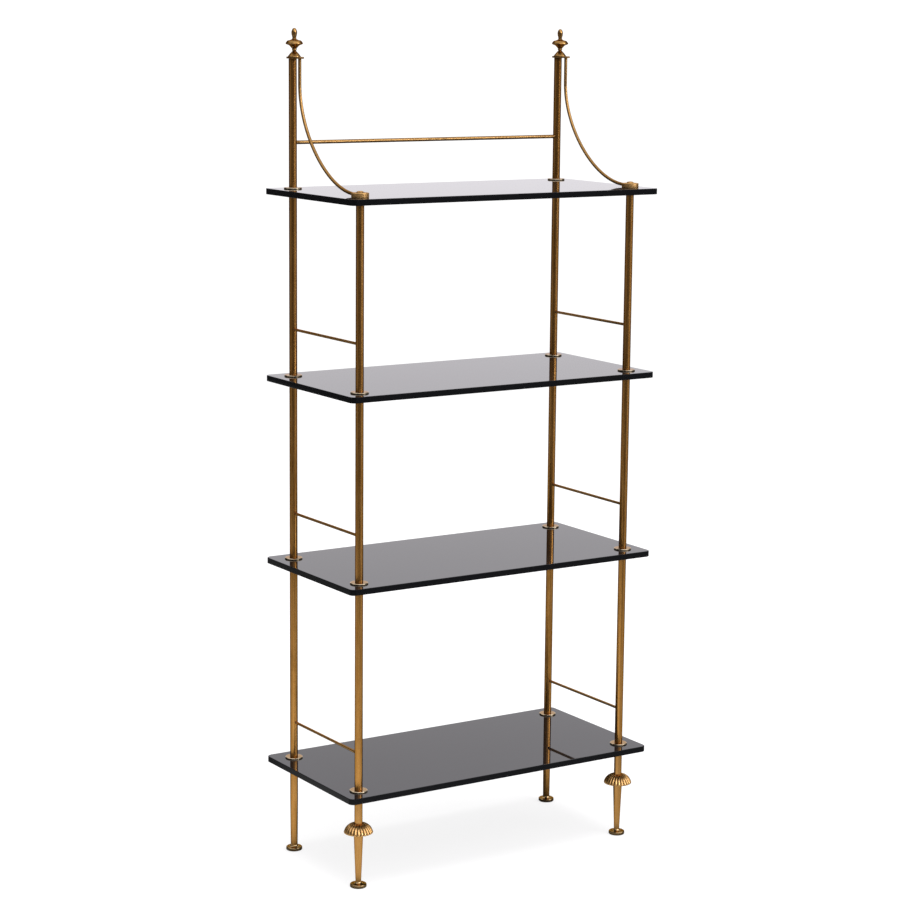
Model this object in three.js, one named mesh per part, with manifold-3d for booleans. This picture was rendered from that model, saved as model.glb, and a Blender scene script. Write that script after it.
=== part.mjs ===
// A free-standing etagere: four glass shelves clamped between turned and tubular brass posts.
// Millimetres, +Z up, the front towards -Y, the origin on the floor at the middle of the footprint.
import * as THREE from "three";
import { mergeVertices } from "three/addons/utils/BufferGeometryUtils.js";
import Module from "manifold-3d";

const wasm = await Module();
wasm.setup();

// Driving dimensions, all in millimetres
const POST_SPACING_WIDTH = 672; // post axis to post axis, left to right
const POST_SPACING_DEPTH = 278; // post axis to post axis, front to rear
const SHELF_SIDE_OVERHANG = 44; // glass beyond the post axes at each side
const SHELF_FRONT_OVERHANG = 46; // glass beyond the post axes at the front and at the rear
const GLASS_THICKNESS = 12.7;
const GLASS_CORNER_RADIUS = 12;
const GLASS_CHAMFER = 0.7;
const GLASS_HOLE_DIAMETER = 10;

const LEG_HEIGHT = 196.3; // floor to the underside of the bottom shelf
const LOWER_BAY_HEIGHT = 431.5; // clear height over the bottom shelf
const UPPER_BAY_HEIGHT = 384; // clear height of the two bays above it
const REAR_TOP_HEIGHT = 270; // top shelf to the underside of the bracket plate

const POST_DIAMETER = 17;
const POST_WALL_THICKNESS = 2;

const COLLAR_DIAMETER = 38;
const COLLAR_THICKNESS = 3.1;
const COLLAR_CHAMFER = 1;
const COLLAR_FLOOR_THICKNESS = 1.6; // metal left under the tube that stands in the collar

const FOOT_DIAMETER = 35;
const FOOT_EDGE_HEIGHT = 7.4;
const FOOT_EDGE_CHAMFER = 1.2;
const FOOT_CONE_HEIGHT = 1.2; // the low cone from the edge up to the seat
const FOOT_SEAT_DIAMETER = 18;
const FOOT_STUD_DIAMETER = 5;
const FOOT_STUD_LENGTH = 12;

const FRONT_LEG_FOOT_DIAMETER = 11.6;
const FRONT_LEG_SHOULDER_DIAMETER = 19.8;
const FRONT_LEG_TAPER_HEIGHT = 118; // floor to the shoulder, just under the skirt's rim
const REAR_LEG_FOOT_DIAMETER = 15;
const REAR_LEG_TAPER_HEIGHT = 120; // the rear leg is parallel above this height

const SKIRT_DIAMETER = 62;
const SKIRT_HEIGHT = 19; // rim to the crown
const SKIRT_RIM_HEIGHT = 120; // floor to the rim
const SKIRT_LIP_DEPTH = 1.4; // how far the rim's thin lip hangs below the ribs' ends
const SKIRT_CROWN_DIAMETER = 18.8;
const SKIRT_WALL_THICKNESS = 2;
const SKIRT_CROWN_THICKNESS = 4;
const SKIRT_FLUTE_DEPTH = 2.2;

const TIE_ROD_DIAMETER = 6;
const TIE_ROD_SCREWED_LENGTH = 30; // how far a tie rod is screwed into a leg

const RAIL_DIAMETER = 6;
const LOWER_RAIL_HEIGHT = 81; // rail axis above the bottom shelf
const UPPER_RAIL_HEIGHT = 100; // rail axis above the shelf in the two bays over it
const CROSSBAR_DIAMETER = 8;
const CROSSBAR_HEIGHT = 96.5; // crossbar axis above the top shelf

const CAP_DIAMETER = 36;
const CAP_WALL_HEIGHT = 9.8;
const CAP_EDGE_CHAMFER = 0.8;
const CAP_BUTTON_DIAMETER = 15;
const CAP_BUTTON_HEIGHT = 3.4;
const CAP_SOCKET_DEPTH = 7;

const PLATE_THICKNESS = 3.7;
const PLATE_POST_RADIUS = 13.2; // the plate's larger round end, over the post
const PLATE_ROD_RADIUS = 9; // the plate's smaller round end, over the bracket rod
const PLATE_BOSS_LENGTH = 14;
const PLATE_SOCKET_DEPTH = 11;

const BRACKET_ROD_DIAMETER = 7;
const PLATE_AXES_LENGTH = 30; // bracket rod in front of the rear post's axis, at the plate
const BRACKET_STRAIGHT_LENGTH = 52; // straight length under the plate, before the sweep
const BRACKET_UPPER_PULL_LENGTH = 105; // how far the sweep keeps to the vertical
const BRACKET_LOWER_PULL_LENGTH = 110; // how far the sweep keeps to the horizontal
const BRACKET_END_HEIGHT = 5.2; // rod axis above the top shelf where it meets the cap
const BRACKET_SPIGOT_DIAMETER = 4;
const BRACKET_SPIGOT_LENGTH = 6;

const FINIAL_DIAMETER = 36;
const FINIAL_HEIGHT = 59.2;
const FINIAL_OFFSET_LENGTH = 7; // finial axis in front of the rear post's axis
const FINIAL_STUD_DIAMETER = 5;

const CLEARANCE = 0.3; // between a pin and its hole, and between faces that only nearly touch
const CUT_OVERRUN = 2; // how far a cutter stands past the face that it opens

// Counts and facets
const ROUND_SIDES = 14;
const THIN_SIDES = 8;
const GLASS_CORNER_STEPS = 4;
const SWEEP_STEPS = 18;
const FLUTES = 24;
const FACETS_PER_FLUTE = 3;
const CROWN_ROWS = 4;
const UNDERSIDE_ROWS = 2;

// Finial outline from its seat to its tip, as shares of its largest radius and of its height
const finial_outline_shares = [
  [0.755, 0],
  [0.74, 0.022],
  [0.65, 0.055],
  [0.52, 0.105],
  [0.375, 0.152],
  [0.26, 0.188],
  [0.212, 0.207],
  [0.28, 0.245],
  [0.27, 0.285],
  [0.4, 0.33],
  [0.52, 0.372],
  [0.66, 0.403],
  [0.88, 0.427],
  [0.985, 0.447],
  [1, 0.468],
  [0.96, 0.496],
  [0.87, 0.535],
  [0.76, 0.562],
  [0.5, 0.582],
  [0.32, 0.606],
  [0.23, 0.64],
  [0.25, 0.7],
  [0.3, 0.755],
  [0.33, 0.82],
  [0.31, 0.89],
  [0.19, 0.97],
  [0, 1],
];

// The cap's button, from its rim to its top, as shares of its radius and of its height
const button_outline_shares = [
  [1.25, 0],
  [1, 0.22],
  [0.86, 0.7],
  [0.5, 0.95],
  [0, 1],
];

// Where the skirt's crown starts its curve at the rim, as a share of the quarter turn up to the neck
const skirt_rim_share = 0.17;

// Worked-out places
const post_radius = POST_DIAMETER / 2;
const bore_radius = post_radius - POST_WALL_THICKNESS;
const tie_radius = TIE_ROD_DIAMETER / 2;
const half_width = POST_SPACING_WIDTH / 2;
const half_depth = POST_SPACING_DEPTH / 2;
const bay_heights = [LOWER_BAY_HEIGHT, UPPER_BAY_HEIGHT, UPPER_BAY_HEIGHT];
const rail_heights = [LOWER_RAIL_HEIGHT, UPPER_RAIL_HEIGHT, UPPER_RAIL_HEIGHT];
const shelf_tops = [LEG_HEIGHT + GLASS_THICKNESS];
for (const [i, height] of bay_heights.entries()) {
  shelf_tops.push(shelf_tops[i] + height + GLASS_THICKNESS);
}
const top_shelf = shelf_tops[bay_heights.length];
const plate_bottom = top_shelf + REAR_TOP_HEIGHT;
const plate_top = plate_bottom + PLATE_THICKNESS;
const foot_seat = FOOT_EDGE_HEIGHT + FOOT_CONE_HEIGHT;
const plate_web = PLATE_THICKNESS / 4; // metal left in the plate under the finial's hole
const posts = [
  { name: "rear_left", x: -half_width, y: half_depth, rear: true, left: true },
  { name: "rear_right", x: half_width, y: half_depth, rear: true, left: false },
  { name: "front_left", x: -half_width, y: -half_depth, rear: false, left: true },
  { name: "front_right", x: half_width, y: -half_depth, rear: false, left: false },
];

// Materials
const brass = () => new THREE.MeshStandardMaterial({ color: 0x96703a, roughness: 0.36, metalness: 1 });
const glass = () => new THREE.MeshStandardMaterial({ color: 0x0c0d0f, roughness: 0.05, metalness: 0 });
const steel = () => new THREE.MeshStandardMaterial({ color: 0x8c8c8e, roughness: 0.45, metalness: 1 });

// Solids: closed geometries go to the boolean library and come back
function solidOf(geometry) {
  const bare = geometry.index ? geometry.toNonIndexed() : geometry.clone();
  bare.deleteAttribute("normal");
  bare.deleteAttribute("uv");
  const merged = mergeVertices(bare);
  return new wasm.Manifold(
    new wasm.Mesh({
      numProp: 3,
      vertProperties: merged.attributes.position.array,
      triVerts: new Uint32Array(merged.index.array),
    }),
  );
}

function geometryOf(solid) {
  const mesh = solid.getMesh();
  const geometry = new THREE.BufferGeometry();
  geometry.setAttribute("position", new THREE.BufferAttribute(mesh.vertProperties, mesh.numProp));
  geometry.setIndex(new THREE.BufferAttribute(mesh.triVerts, 1));
  return geometry;
}

const cut = (body, cutters) =>
  geometryOf(cutters.reduce((solid, cutter) => solid.subtract(solidOf(cutter)), solidOf(body)));

const join = (bodies) =>
  geometryOf(bodies.slice(1).reduce((solid, body) => solid.add(solidOf(body)), solidOf(bodies[0])));

// A solid of revolution about Z from [radius, height] points, which start and end on the axis
function turned(outline, sides = ROUND_SIDES) {
  const points = outline.map(([radius, height]) => new THREE.Vector2(radius, height));
  return new THREE.LatheGeometry(points, sides).rotateX(Math.PI / 2);
}

// A ring of revolution: the outline closes on itself
const ring = (outline, sides = ROUND_SIDES) => turned([...outline, outline[0]], sides);

const bar = (radius, bottom, top, sides = ROUND_SIDES) =>
  turned([[0, bottom], [radius, bottom], [radius, top], [0, top]], sides);

// A bar whose axis points along +Y (towards the rear) or along -Y, from the origin outwards
const barToRear = (radius, start, end) => bar(radius, start, end, THIN_SIDES).rotateX(-Math.PI / 2);
const barToFront = (radius, start, end) => bar(radius, start, end, THIN_SIDES).rotateX(Math.PI / 2);
const barToRight = (radius, start, end) => bar(radius, start, end, THIN_SIDES).rotateY(Math.PI / 2);
const barToLeft = (radius, start, end) => bar(radius, start, end, THIN_SIDES).rotateY(-Math.PI / 2);

function roundedRectangle(width, depth, radius) {
  const shape = new THREE.Shape();
  const x = width / 2 - radius;
  const y = depth / 2 - radius;
  const right_angle = Math.PI / 2;
  const corners = [[x, y], [-x, y], [-x, -y], [x, -y]];
  corners.forEach(([cx, cy], i) => {
    shape.absarc(cx, cy, radius, i * right_angle, (i + 1) * right_angle, false);
  });
  shape.closePath();
  return shape;
}

// Glass shelf, its underside at zero, with a chamfered edge and a hole at each post
function glassShelf() {
  const outline = roundedRectangle(
    POST_SPACING_WIDTH + 2 * SHELF_SIDE_OVERHANG,
    POST_SPACING_DEPTH + 2 * SHELF_FRONT_OVERHANG,
    GLASS_CORNER_RADIUS,
  );
  const slab = new THREE.ExtrudeGeometry(outline, {
    depth: GLASS_THICKNESS - 2 * GLASS_CHAMFER,
    bevelEnabled: true,
    bevelThickness: GLASS_CHAMFER,
    bevelSize: GLASS_CHAMFER,
    bevelOffset: -GLASS_CHAMFER,
    bevelSegments: 1,
    curveSegments: GLASS_CORNER_STEPS,
  }).translate(0, 0, GLASS_CHAMFER);
  const hole_radius = GLASS_HOLE_DIAMETER / 2;
  const holes = posts.map(({ x, y }) =>
    bar(hole_radius, -CUT_OVERRUN, GLASS_THICKNESS + CUT_OVERRUN, THIN_SIDES).translate(x, y, 0),
  );
  return cut(slab, holes);
}

// Post tube standing on zero, with side holes for the ends of rails
function postTube(length, side_holes) {
  const tube = ring([
    [bore_radius, 0],
    [post_radius, 0],
    [post_radius, length],
    [bore_radius, length],
  ]);
  return cut(tube, side_holes);
}

// Collar on top of the glass: a disc with a recess that the tube stands in
function collar() {
  const outer = COLLAR_DIAMETER / 2;
  const recess = post_radius + CLEARANCE;
  const hole = tie_radius + CLEARANCE;
  return ring([
    [hole, 0],
    [outer, 0],
    [outer, COLLAR_THICKNESS - COLLAR_CHAMFER],
    [outer - COLLAR_CHAMFER, COLLAR_THICKNESS],
    [recess, COLLAR_THICKNESS],
    [recess, COLLAR_FLOOR_THICKNESS],
    [hole, COLLAR_FLOOR_THICKNESS],
  ]);
}

// Foot: a flat disc with a low cone and a stud that screws up into the leg
function foot() {
  const outer = FOOT_DIAMETER / 2;
  const stud = FOOT_STUD_DIAMETER / 2;
  return turned([
    [0, 0],
    [outer - FOOT_EDGE_CHAMFER, 0],
    [outer, FOOT_EDGE_CHAMFER],
    [outer, FOOT_EDGE_HEIGHT - FOOT_EDGE_CHAMFER],
    [outer - FOOT_EDGE_CHAMFER, FOOT_EDGE_HEIGHT],
    [FOOT_SEAT_DIAMETER / 2, foot_seat],
    [stud, foot_seat],
    [stud, foot_seat + FOOT_STUD_LENGTH],
    [0, foot_seat + FOOT_STUD_LENGTH],
  ]);
}

// The blind hole at a leg's foot, for the stud, in the order that the outline needs it
const studHole = () => {
  const radius = FOOT_STUD_DIAMETER / 2 + CLEARANCE;
  const depth = foot_seat + FOOT_STUD_LENGTH + CLEARANCE;
  return [[0, depth], [radius, depth], [radius, foot_seat]];
};

// The blind hole at a leg's head, for the tie rod
const tieHole = () => {
  const radius = tie_radius + CLEARANCE;
  const depth = LEG_HEIGHT - TIE_ROD_SCREWED_LENGTH - CLEARANCE;
  return [[radius, LEG_HEIGHT], [radius, depth], [0, depth]];
};

// Front leg: a taper up to the shoulder that carries the skirt, and a neck through the skirt
function frontLeg() {
  const shoulder = FRONT_LEG_SHOULDER_DIAMETER / 2;
  const shoulder_top = SKIRT_RIM_HEIGHT + SKIRT_HEIGHT - SKIRT_CROWN_THICKNESS;
  return turned([
    ...studHole(),
    [FRONT_LEG_FOOT_DIAMETER / 2, foot_seat],
    [shoulder, FRONT_LEG_TAPER_HEIGHT],
    [shoulder, shoulder_top],
    [post_radius, shoulder_top],
    [post_radius, LEG_HEIGHT],
    ...tieHole(),
  ]);
}

// Rear leg: a plain rod that tapers a little towards its foot
function rearLeg() {
  return turned([
    ...studHole(),
    [REAR_LEG_FOOT_DIAMETER / 2, foot_seat],
    [post_radius, REAR_LEG_TAPER_HEIGHT],
    [post_radius, LEG_HEIGHT],
    ...tieHole(),
  ]);
}

// The skirt's rows, from its bore up the crown, down the flutes and back under the crown.
// Each has a radius, a height and the share of the full flute depth that it is cut to.
function skirtRows() {
  const rim = SKIRT_DIAMETER / 2;
  const crown = SKIRT_CROWN_DIAMETER / 2;
  const bore = post_radius + CLEARANCE;
  const ceiling = SKIRT_HEIGHT - SKIRT_CROWN_THICKNESS;
  const hub = FRONT_LEG_SHOULDER_DIAMETER / 2 + CLEARANCE;
  const rows = [];
  const quarter = Math.PI / 2;
  const first = skirt_rim_share * quarter;
  for (let i = 0; i <= CROWN_ROWS; i++) {
    const angle = first + (i / CROWN_ROWS) * (quarter - first);
    const out_share = Math.cos(angle) / Math.cos(first);
    const up_share = (Math.sin(angle) - Math.sin(first)) / (1 - Math.sin(first));
    rows.push({
      radius: crown + (rim - crown) * out_share,
      height: SKIRT_HEIGHT * up_share,
      flute_share: out_share,
    });
  }
  rows.push({ radius: bore, height: SKIRT_HEIGHT, flute_share: 0 });
  rows.push({ radius: bore, height: ceiling, flute_share: 0 });
  rows.push({ radius: hub, height: ceiling, flute_share: 0 });
  for (let i = UNDERSIDE_ROWS - 1; i >= 0; i--) {
    const angle = (i / UNDERSIDE_ROWS) * quarter;
    rows.push({
      radius: hub + (rim - SKIRT_WALL_THICKNESS - hub) * Math.cos(angle),
      height: (ceiling + SKIRT_LIP_DEPTH) * Math.sin(angle) - SKIRT_LIP_DEPTH,
      flute_share: Math.cos(angle),
    });
  }
  return rows;
}

// Convex ribs with narrow valleys between them: 0 on a rib's crest and 1 in a valley
const valley = (angle) => 1 - Math.abs(Math.cos((FLUTES * angle) / 2));

// Fluted skirt: closed rows of points, joined into quads all round
function skirt() {
  const steps = FLUTES * FACETS_PER_FLUTE;
  const rows = skirtRows();
  const positions = [];
  const index = [];
  for (const { radius, height, flute_share } of rows) {
    for (let j = 0; j < steps; j++) {
      const angle = (j / steps) * 2 * Math.PI + Math.PI / FLUTES;
      const r = radius - SKIRT_FLUTE_DEPTH * flute_share * valley(angle);
      positions.push(r * Math.cos(angle), r * Math.sin(angle), height);
    }
  }
  rows.forEach((_, i) => {
    const next_row = ((i + 1) % rows.length) * steps;
    for (let j = 0; j < steps; j++) {
      const next = (j + 1) % steps;
      const a = i * steps + j;
      const b = i * steps + next;
      index.push(a, b, next_row + j, b, next_row + next, next_row + j);
    }
  });
  const geometry = new THREE.BufferGeometry();
  geometry.setAttribute("position", new THREE.Float32BufferAttribute(positions, 3));
  geometry.setIndex(index);
  return geometry;
}

// Cap nut on a front post: a drum with a button, tapped from below, drilled at the rear for the bracket
function cap() {
  const outer = CAP_DIAMETER / 2;
  const button = CAP_BUTTON_DIAMETER / 2;
  const socket = tie_radius + CLEARANCE;
  const body = turned([
    [0, CAP_SOCKET_DEPTH],
    [socket, CAP_SOCKET_DEPTH],
    [socket, 0],
    [outer, 0],
    [outer, CAP_WALL_HEIGHT - CAP_EDGE_CHAMFER],
    [outer - CAP_EDGE_CHAMFER, CAP_WALL_HEIGHT],
    ...button_outline_shares.map(([r, h]) => [button * r, CAP_WALL_HEIGHT + CAP_BUTTON_HEIGHT * h]),
  ]);
  const spigot_hole = barToRear(
    BRACKET_SPIGOT_DIAMETER / 2 + CLEARANCE,
    outer - BRACKET_SPIGOT_LENGTH - CLEARANCE,
    outer + CUT_OVERRUN,
  );
  return cut(body, [spigot_hole.translate(0, 0, BRACKET_END_HEIGHT)]);
}

// The bracket rod's path in its own frame: origin on the rear post's axis at the plate's underside
function bracketPath() {
  const end_forward = POST_SPACING_DEPTH - CAP_DIAMETER / 2 - CLEARANCE;
  const end_down = REAR_TOP_HEIGHT - BRACKET_END_HEIGHT;
  const at = (forward, down) => new THREE.Vector3(0, -forward, -down);
  const path = new THREE.CurvePath();
  path.add(new THREE.LineCurve3(
    at(PLATE_AXES_LENGTH, -PLATE_THICKNESS / 2),
    at(PLATE_AXES_LENGTH, BRACKET_STRAIGHT_LENGTH),
  ));
  path.add(new THREE.CubicBezierCurve3(
    at(PLATE_AXES_LENGTH, BRACKET_STRAIGHT_LENGTH),
    at(PLATE_AXES_LENGTH, BRACKET_STRAIGHT_LENGTH + BRACKET_UPPER_PULL_LENGTH),
    at(end_forward - BRACKET_LOWER_PULL_LENGTH, end_down),
    at(end_forward, end_down),
  ));
  return { path, end: at(end_forward, end_down) };
}

function disc(radius) {
  const shape = new THREE.Shape();
  for (let i = 0; i < THIN_SIDES; i++) {
    const angle = (i / THIN_SIDES) * 2 * Math.PI;
    const method = i ? "lineTo" : "moveTo";
    shape[method](radius * Math.cos(angle), radius * Math.sin(angle));
  }
  shape.closePath();
  return shape;
}

// The plate's outline: two round ends of different radii joined by their common tangents
function plateOutline() {
  const lean = Math.asin((PLATE_POST_RADIUS - PLATE_ROD_RADIUS) / PLATE_AXES_LENGTH);
  const shape = new THREE.Shape();
  shape.absarc(0, 0, PLATE_POST_RADIUS, -lean, Math.PI + lean, false);
  shape.absarc(0, -PLATE_AXES_LENGTH, PLATE_ROD_RADIUS, Math.PI + lean, 2 * Math.PI - lean, false);
  shape.closePath();
  return shape;
}

// Bracket: plate, boss and swept rod, brazed into one piece
function bracket() {
  const plate = new THREE.ExtrudeGeometry(plateOutline(), {
    depth: PLATE_THICKNESS,
    bevelEnabled: false,
    curveSegments: ROUND_SIDES / 2,
  });
  const boss = bar(bore_radius - CLEARANCE, -PLATE_BOSS_LENGTH, PLATE_THICKNESS / 2);
  const { path, end } = bracketPath();
  const rod = new THREE.ExtrudeGeometry(disc(BRACKET_ROD_DIAMETER / 2), {
    steps: SWEEP_STEPS,
    bevelEnabled: false,
    extrudePath: path,
  });
  const spigot = barToFront(BRACKET_SPIGOT_DIAMETER / 2, -CUT_OVERRUN, BRACKET_SPIGOT_LENGTH);
  const tie_socket = bar(
    tie_radius + CLEARANCE,
    -PLATE_BOSS_LENGTH - CUT_OVERRUN,
    PLATE_SOCKET_DEPTH - PLATE_BOSS_LENGTH,
  );
  const finial_hole = bar(
    FINIAL_STUD_DIAMETER / 2 + CLEARANCE,
    plate_web,
    PLATE_THICKNESS + CUT_OVERRUN,
  );
  return cut(join([plate, boss, rod, spigot.translate(end.x, end.y, end.z)]), [
    tie_socket,
    finial_hole.translate(0, -FINIAL_OFFSET_LENGTH, 0),
  ]);
}

// Finial: a turned bell, a thick disc and a bud, with a stud that screws into the plate
function finial() {
  const radius = FINIAL_DIAMETER / 2;
  const stud = FINIAL_STUD_DIAMETER / 2;
  const stud_end = plate_web + CLEARANCE - PLATE_THICKNESS;
  return turned([
    [0, stud_end],
    [stud, stud_end],
    [stud, 0],
    ...finial_outline_shares.map(([r, h]) => [radius * r, FINIAL_HEIGHT * h]),
  ]);
}

const etagere = new THREE.Group();
etagere.name = "etagere";

function add(parent, name, geometry, material, z) {
  const mesh = new THREE.Mesh(geometry, material);
  mesh.name = name;
  mesh.position.z = z;
  parent.add(mesh);
}

// Four shelves
shelf_tops.forEach((top, i) => {
  add(etagere, `shelf_${i + 1}`, glassShelf(), glass(), top - GLASS_THICKNESS);
});

// A bay of one post: a collar on the glass and a tube from the collar up to the next shelf
function addBay(group, post, i) {
  const rail_hole = post.rear ? barToFront : barToRear;
  const hole = rail_hole(RAIL_DIAMETER / 2 + CLEARANCE, 0, post_radius + CUT_OVERRUN);
  hole.translate(0, 0, rail_heights[i] - COLLAR_FLOOR_THICKNESS);
  add(group, `collar_${post.name}_${i + 1}`, collar(), brass(), shelf_tops[i]);
  add(
    group,
    `post_${post.name}_bay_${i + 1}`,
    postTube(bay_heights[i] - COLLAR_FLOOR_THICKNESS, [hole]),
    brass(),
    shelf_tops[i] + COLLAR_FLOOR_THICKNESS,
  );
}

// The rear post's last stretch, over the top shelf, with the bracket and the finial on it
function addRearTop(group, post) {
  const crossbar_hole = post.left ? barToRight : barToLeft;
  const hole = crossbar_hole(CROSSBAR_DIAMETER / 2 + CLEARANCE, 0, post_radius + CUT_OVERRUN);
  hole.translate(0, 0, CROSSBAR_HEIGHT - COLLAR_FLOOR_THICKNESS);
  const side = post.left ? "left" : "right";
  const last = shelf_tops.length;
  add(group, `collar_${post.name}_${last}`, collar(), brass(), top_shelf);
  const tube = postTube(REAR_TOP_HEIGHT - COLLAR_FLOOR_THICKNESS, [hole]);
  add(group, `post_${post.name}_top`, tube, brass(), top_shelf + COLLAR_FLOOR_THICKNESS);
  add(group, `bracket_${side}`, bracket(), brass(), plate_bottom);
  const finial_group = new THREE.Group();
  finial_group.position.y = -FINIAL_OFFSET_LENGTH;
  add(finial_group, `finial_${side}`, finial(), brass(), plate_top);
  group.add(finial_group);
}

function addPost(post) {
  const group = new THREE.Group();
  group.position.set(post.x, post.y, 0);
  const side = post.left ? "left" : "right";
  add(group, `foot_${post.name}`, foot(), brass(), 0);
  add(group, `leg_${post.name}`, post.rear ? rearLeg() : frontLeg(), brass(), 0);
  bay_heights.forEach((_, i) => addBay(group, post, i));
  const tie_bottom = LEG_HEIGHT - TIE_ROD_SCREWED_LENGTH;
  let tie_top = top_shelf + CAP_SOCKET_DEPTH - CLEARANCE;
  if (post.rear) {
    addRearTop(group, post);
    tie_top = plate_bottom - PLATE_BOSS_LENGTH + PLATE_SOCKET_DEPTH - CLEARANCE;
  } else {
    add(group, `skirt_${side}`, skirt(), brass(), SKIRT_RIM_HEIGHT);
    add(group, `cap_${side}`, cap(), brass(), top_shelf);
  }
  const tie_rod = bar(tie_radius, 0, tie_top - tie_bottom, THIN_SIDES);
  add(group, `tie_rod_${post.name}`, tie_rod, steel(), tie_bottom);
  etagere.add(group);
}

posts.forEach(addPost);

// Side rails run from bore to bore between the rear and the front post, one in each bay and side
function addRail(side, x, i) {
  const half = half_depth - bore_radius;
  const group = new THREE.Group();
  group.position.x = x;
  const rail = barToRear(RAIL_DIAMETER / 2, -half, half);
  add(group, `rail_${side}_${i + 1}`, rail, brass(), shelf_tops[i] + rail_heights[i]);
  etagere.add(group);
}

bay_heights.forEach((_, i) => {
  addRail("left", -half_width, i);
  addRail("right", half_width, i);
});

// Crossbar between the rear posts, over the top shelf
function addCrossbar() {
  const half = half_width - bore_radius;
  const group = new THREE.Group();
  group.position.y = half_depth;
  const crossbar = barToRight(CROSSBAR_DIAMETER / 2, -half, half);
  add(group, "crossbar", crossbar, brass(), top_shelf + CROSSBAR_HEIGHT);
  etagere.add(group);
}

addCrossbar();

export default etagere;
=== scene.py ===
"""Looks of a free-standing etagere: four black glass shelves clamped between aged brass posts.

Lengths are in metres, +Z is up, and the front faces -Y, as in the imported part.
"""

import logging
import math
from dataclasses import dataclass, replace
from enum import Enum
from typing import Callable, Iterable, Sequence

import bmesh
import bpy
from mathutils import Matrix, Vector

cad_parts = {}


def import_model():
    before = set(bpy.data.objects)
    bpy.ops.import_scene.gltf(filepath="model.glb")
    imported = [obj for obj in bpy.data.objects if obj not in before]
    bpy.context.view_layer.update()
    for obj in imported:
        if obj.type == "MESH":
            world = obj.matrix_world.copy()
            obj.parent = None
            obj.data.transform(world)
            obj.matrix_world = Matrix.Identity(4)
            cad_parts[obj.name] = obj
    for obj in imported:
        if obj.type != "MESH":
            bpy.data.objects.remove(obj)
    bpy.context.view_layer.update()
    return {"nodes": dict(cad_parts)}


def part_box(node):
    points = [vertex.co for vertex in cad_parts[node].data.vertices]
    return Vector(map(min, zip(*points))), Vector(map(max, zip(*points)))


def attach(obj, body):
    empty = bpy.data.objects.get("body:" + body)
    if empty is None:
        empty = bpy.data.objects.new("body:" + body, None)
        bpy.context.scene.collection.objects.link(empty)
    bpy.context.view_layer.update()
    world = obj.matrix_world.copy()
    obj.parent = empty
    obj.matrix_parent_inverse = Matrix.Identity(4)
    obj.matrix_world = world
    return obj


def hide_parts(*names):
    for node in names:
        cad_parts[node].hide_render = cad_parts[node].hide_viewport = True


log = logging.getLogger("etagere")

MM = 0.001
SHELVES = 4
BAYS = SHELVES - 1
ROUND_SIDES = 72  # facets round a turned piece
ROD_SIDES = 32  # facets round a rail or another thin rod
SHARP_EDGE = math.radians(42)  # an edge that turns more than this is shaded sharp
ON_AXIS = 1e-7  # a ring with a smaller radius is one point on the axis
BODY = "root"  # nothing moves, so every piece rides on the one body
WEAR = "wear"  # point attribute: 1 on edges that hands and cloths rub bright, and where a painted highlight lies on collar rims, foot seams and skirt crests
GRIME_AND_SHADE = "grime_and_shade"  # point attribute: 1 in corners where wax and dirt stay, and where painted shade darkens collars, caps, feet, skirts and tube bores

# The socket types of the node groups
NUMBER = "NodeSocketFloat"
WHOLE = "NodeSocketInt"
VECTOR = "NodeSocketVector"
GEOMETRY = "NodeSocketGeometry"
MATERIAL = "NodeSocketMaterial"

Colour = tuple[float, float, float]
Point = tuple[float, float]
Socket = bpy.types.NodeSocket


class Slot(Enum):
    """Names of material slots that go along with the visual pieces; nothing reads them."""

    BRASS = "brass"
    GLASS = "black_glass"


class Side(Enum):
    """Left or right of the etagere, as its nodes' names say it."""

    LEFT = "left"
    RIGHT = "right"


class Depth(Enum):
    """Front or rear of the etagere, as its nodes' names say it."""

    FRONT = "front"
    REAR = "rear"


class Grain(Enum):
    """How a brass piece was rubbed down: its fine marks in X, Y and Z, long where the number is small."""

    UPRIGHT = (1.0, 1.0, 0.03)
    FRONT_TO_REAR = (1.0, 0.03, 1.0)
    SIDE_TO_SIDE = (0.03, 1.0, 1.0)
    TURNED = (0.12, 0.12, 1.0)


# Node trees


@dataclass(frozen=True)
class Fade:
    """A smooth change with a measure: at_low up to the measure low, and at_high from high on."""

    low: float
    high: float
    at_low: float = 0.0
    at_high: float = 1.0


MIDDLE = Fade(0.3, 0.7)  # spreads noise, which keeps close to 0.5, over the whole range


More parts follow.
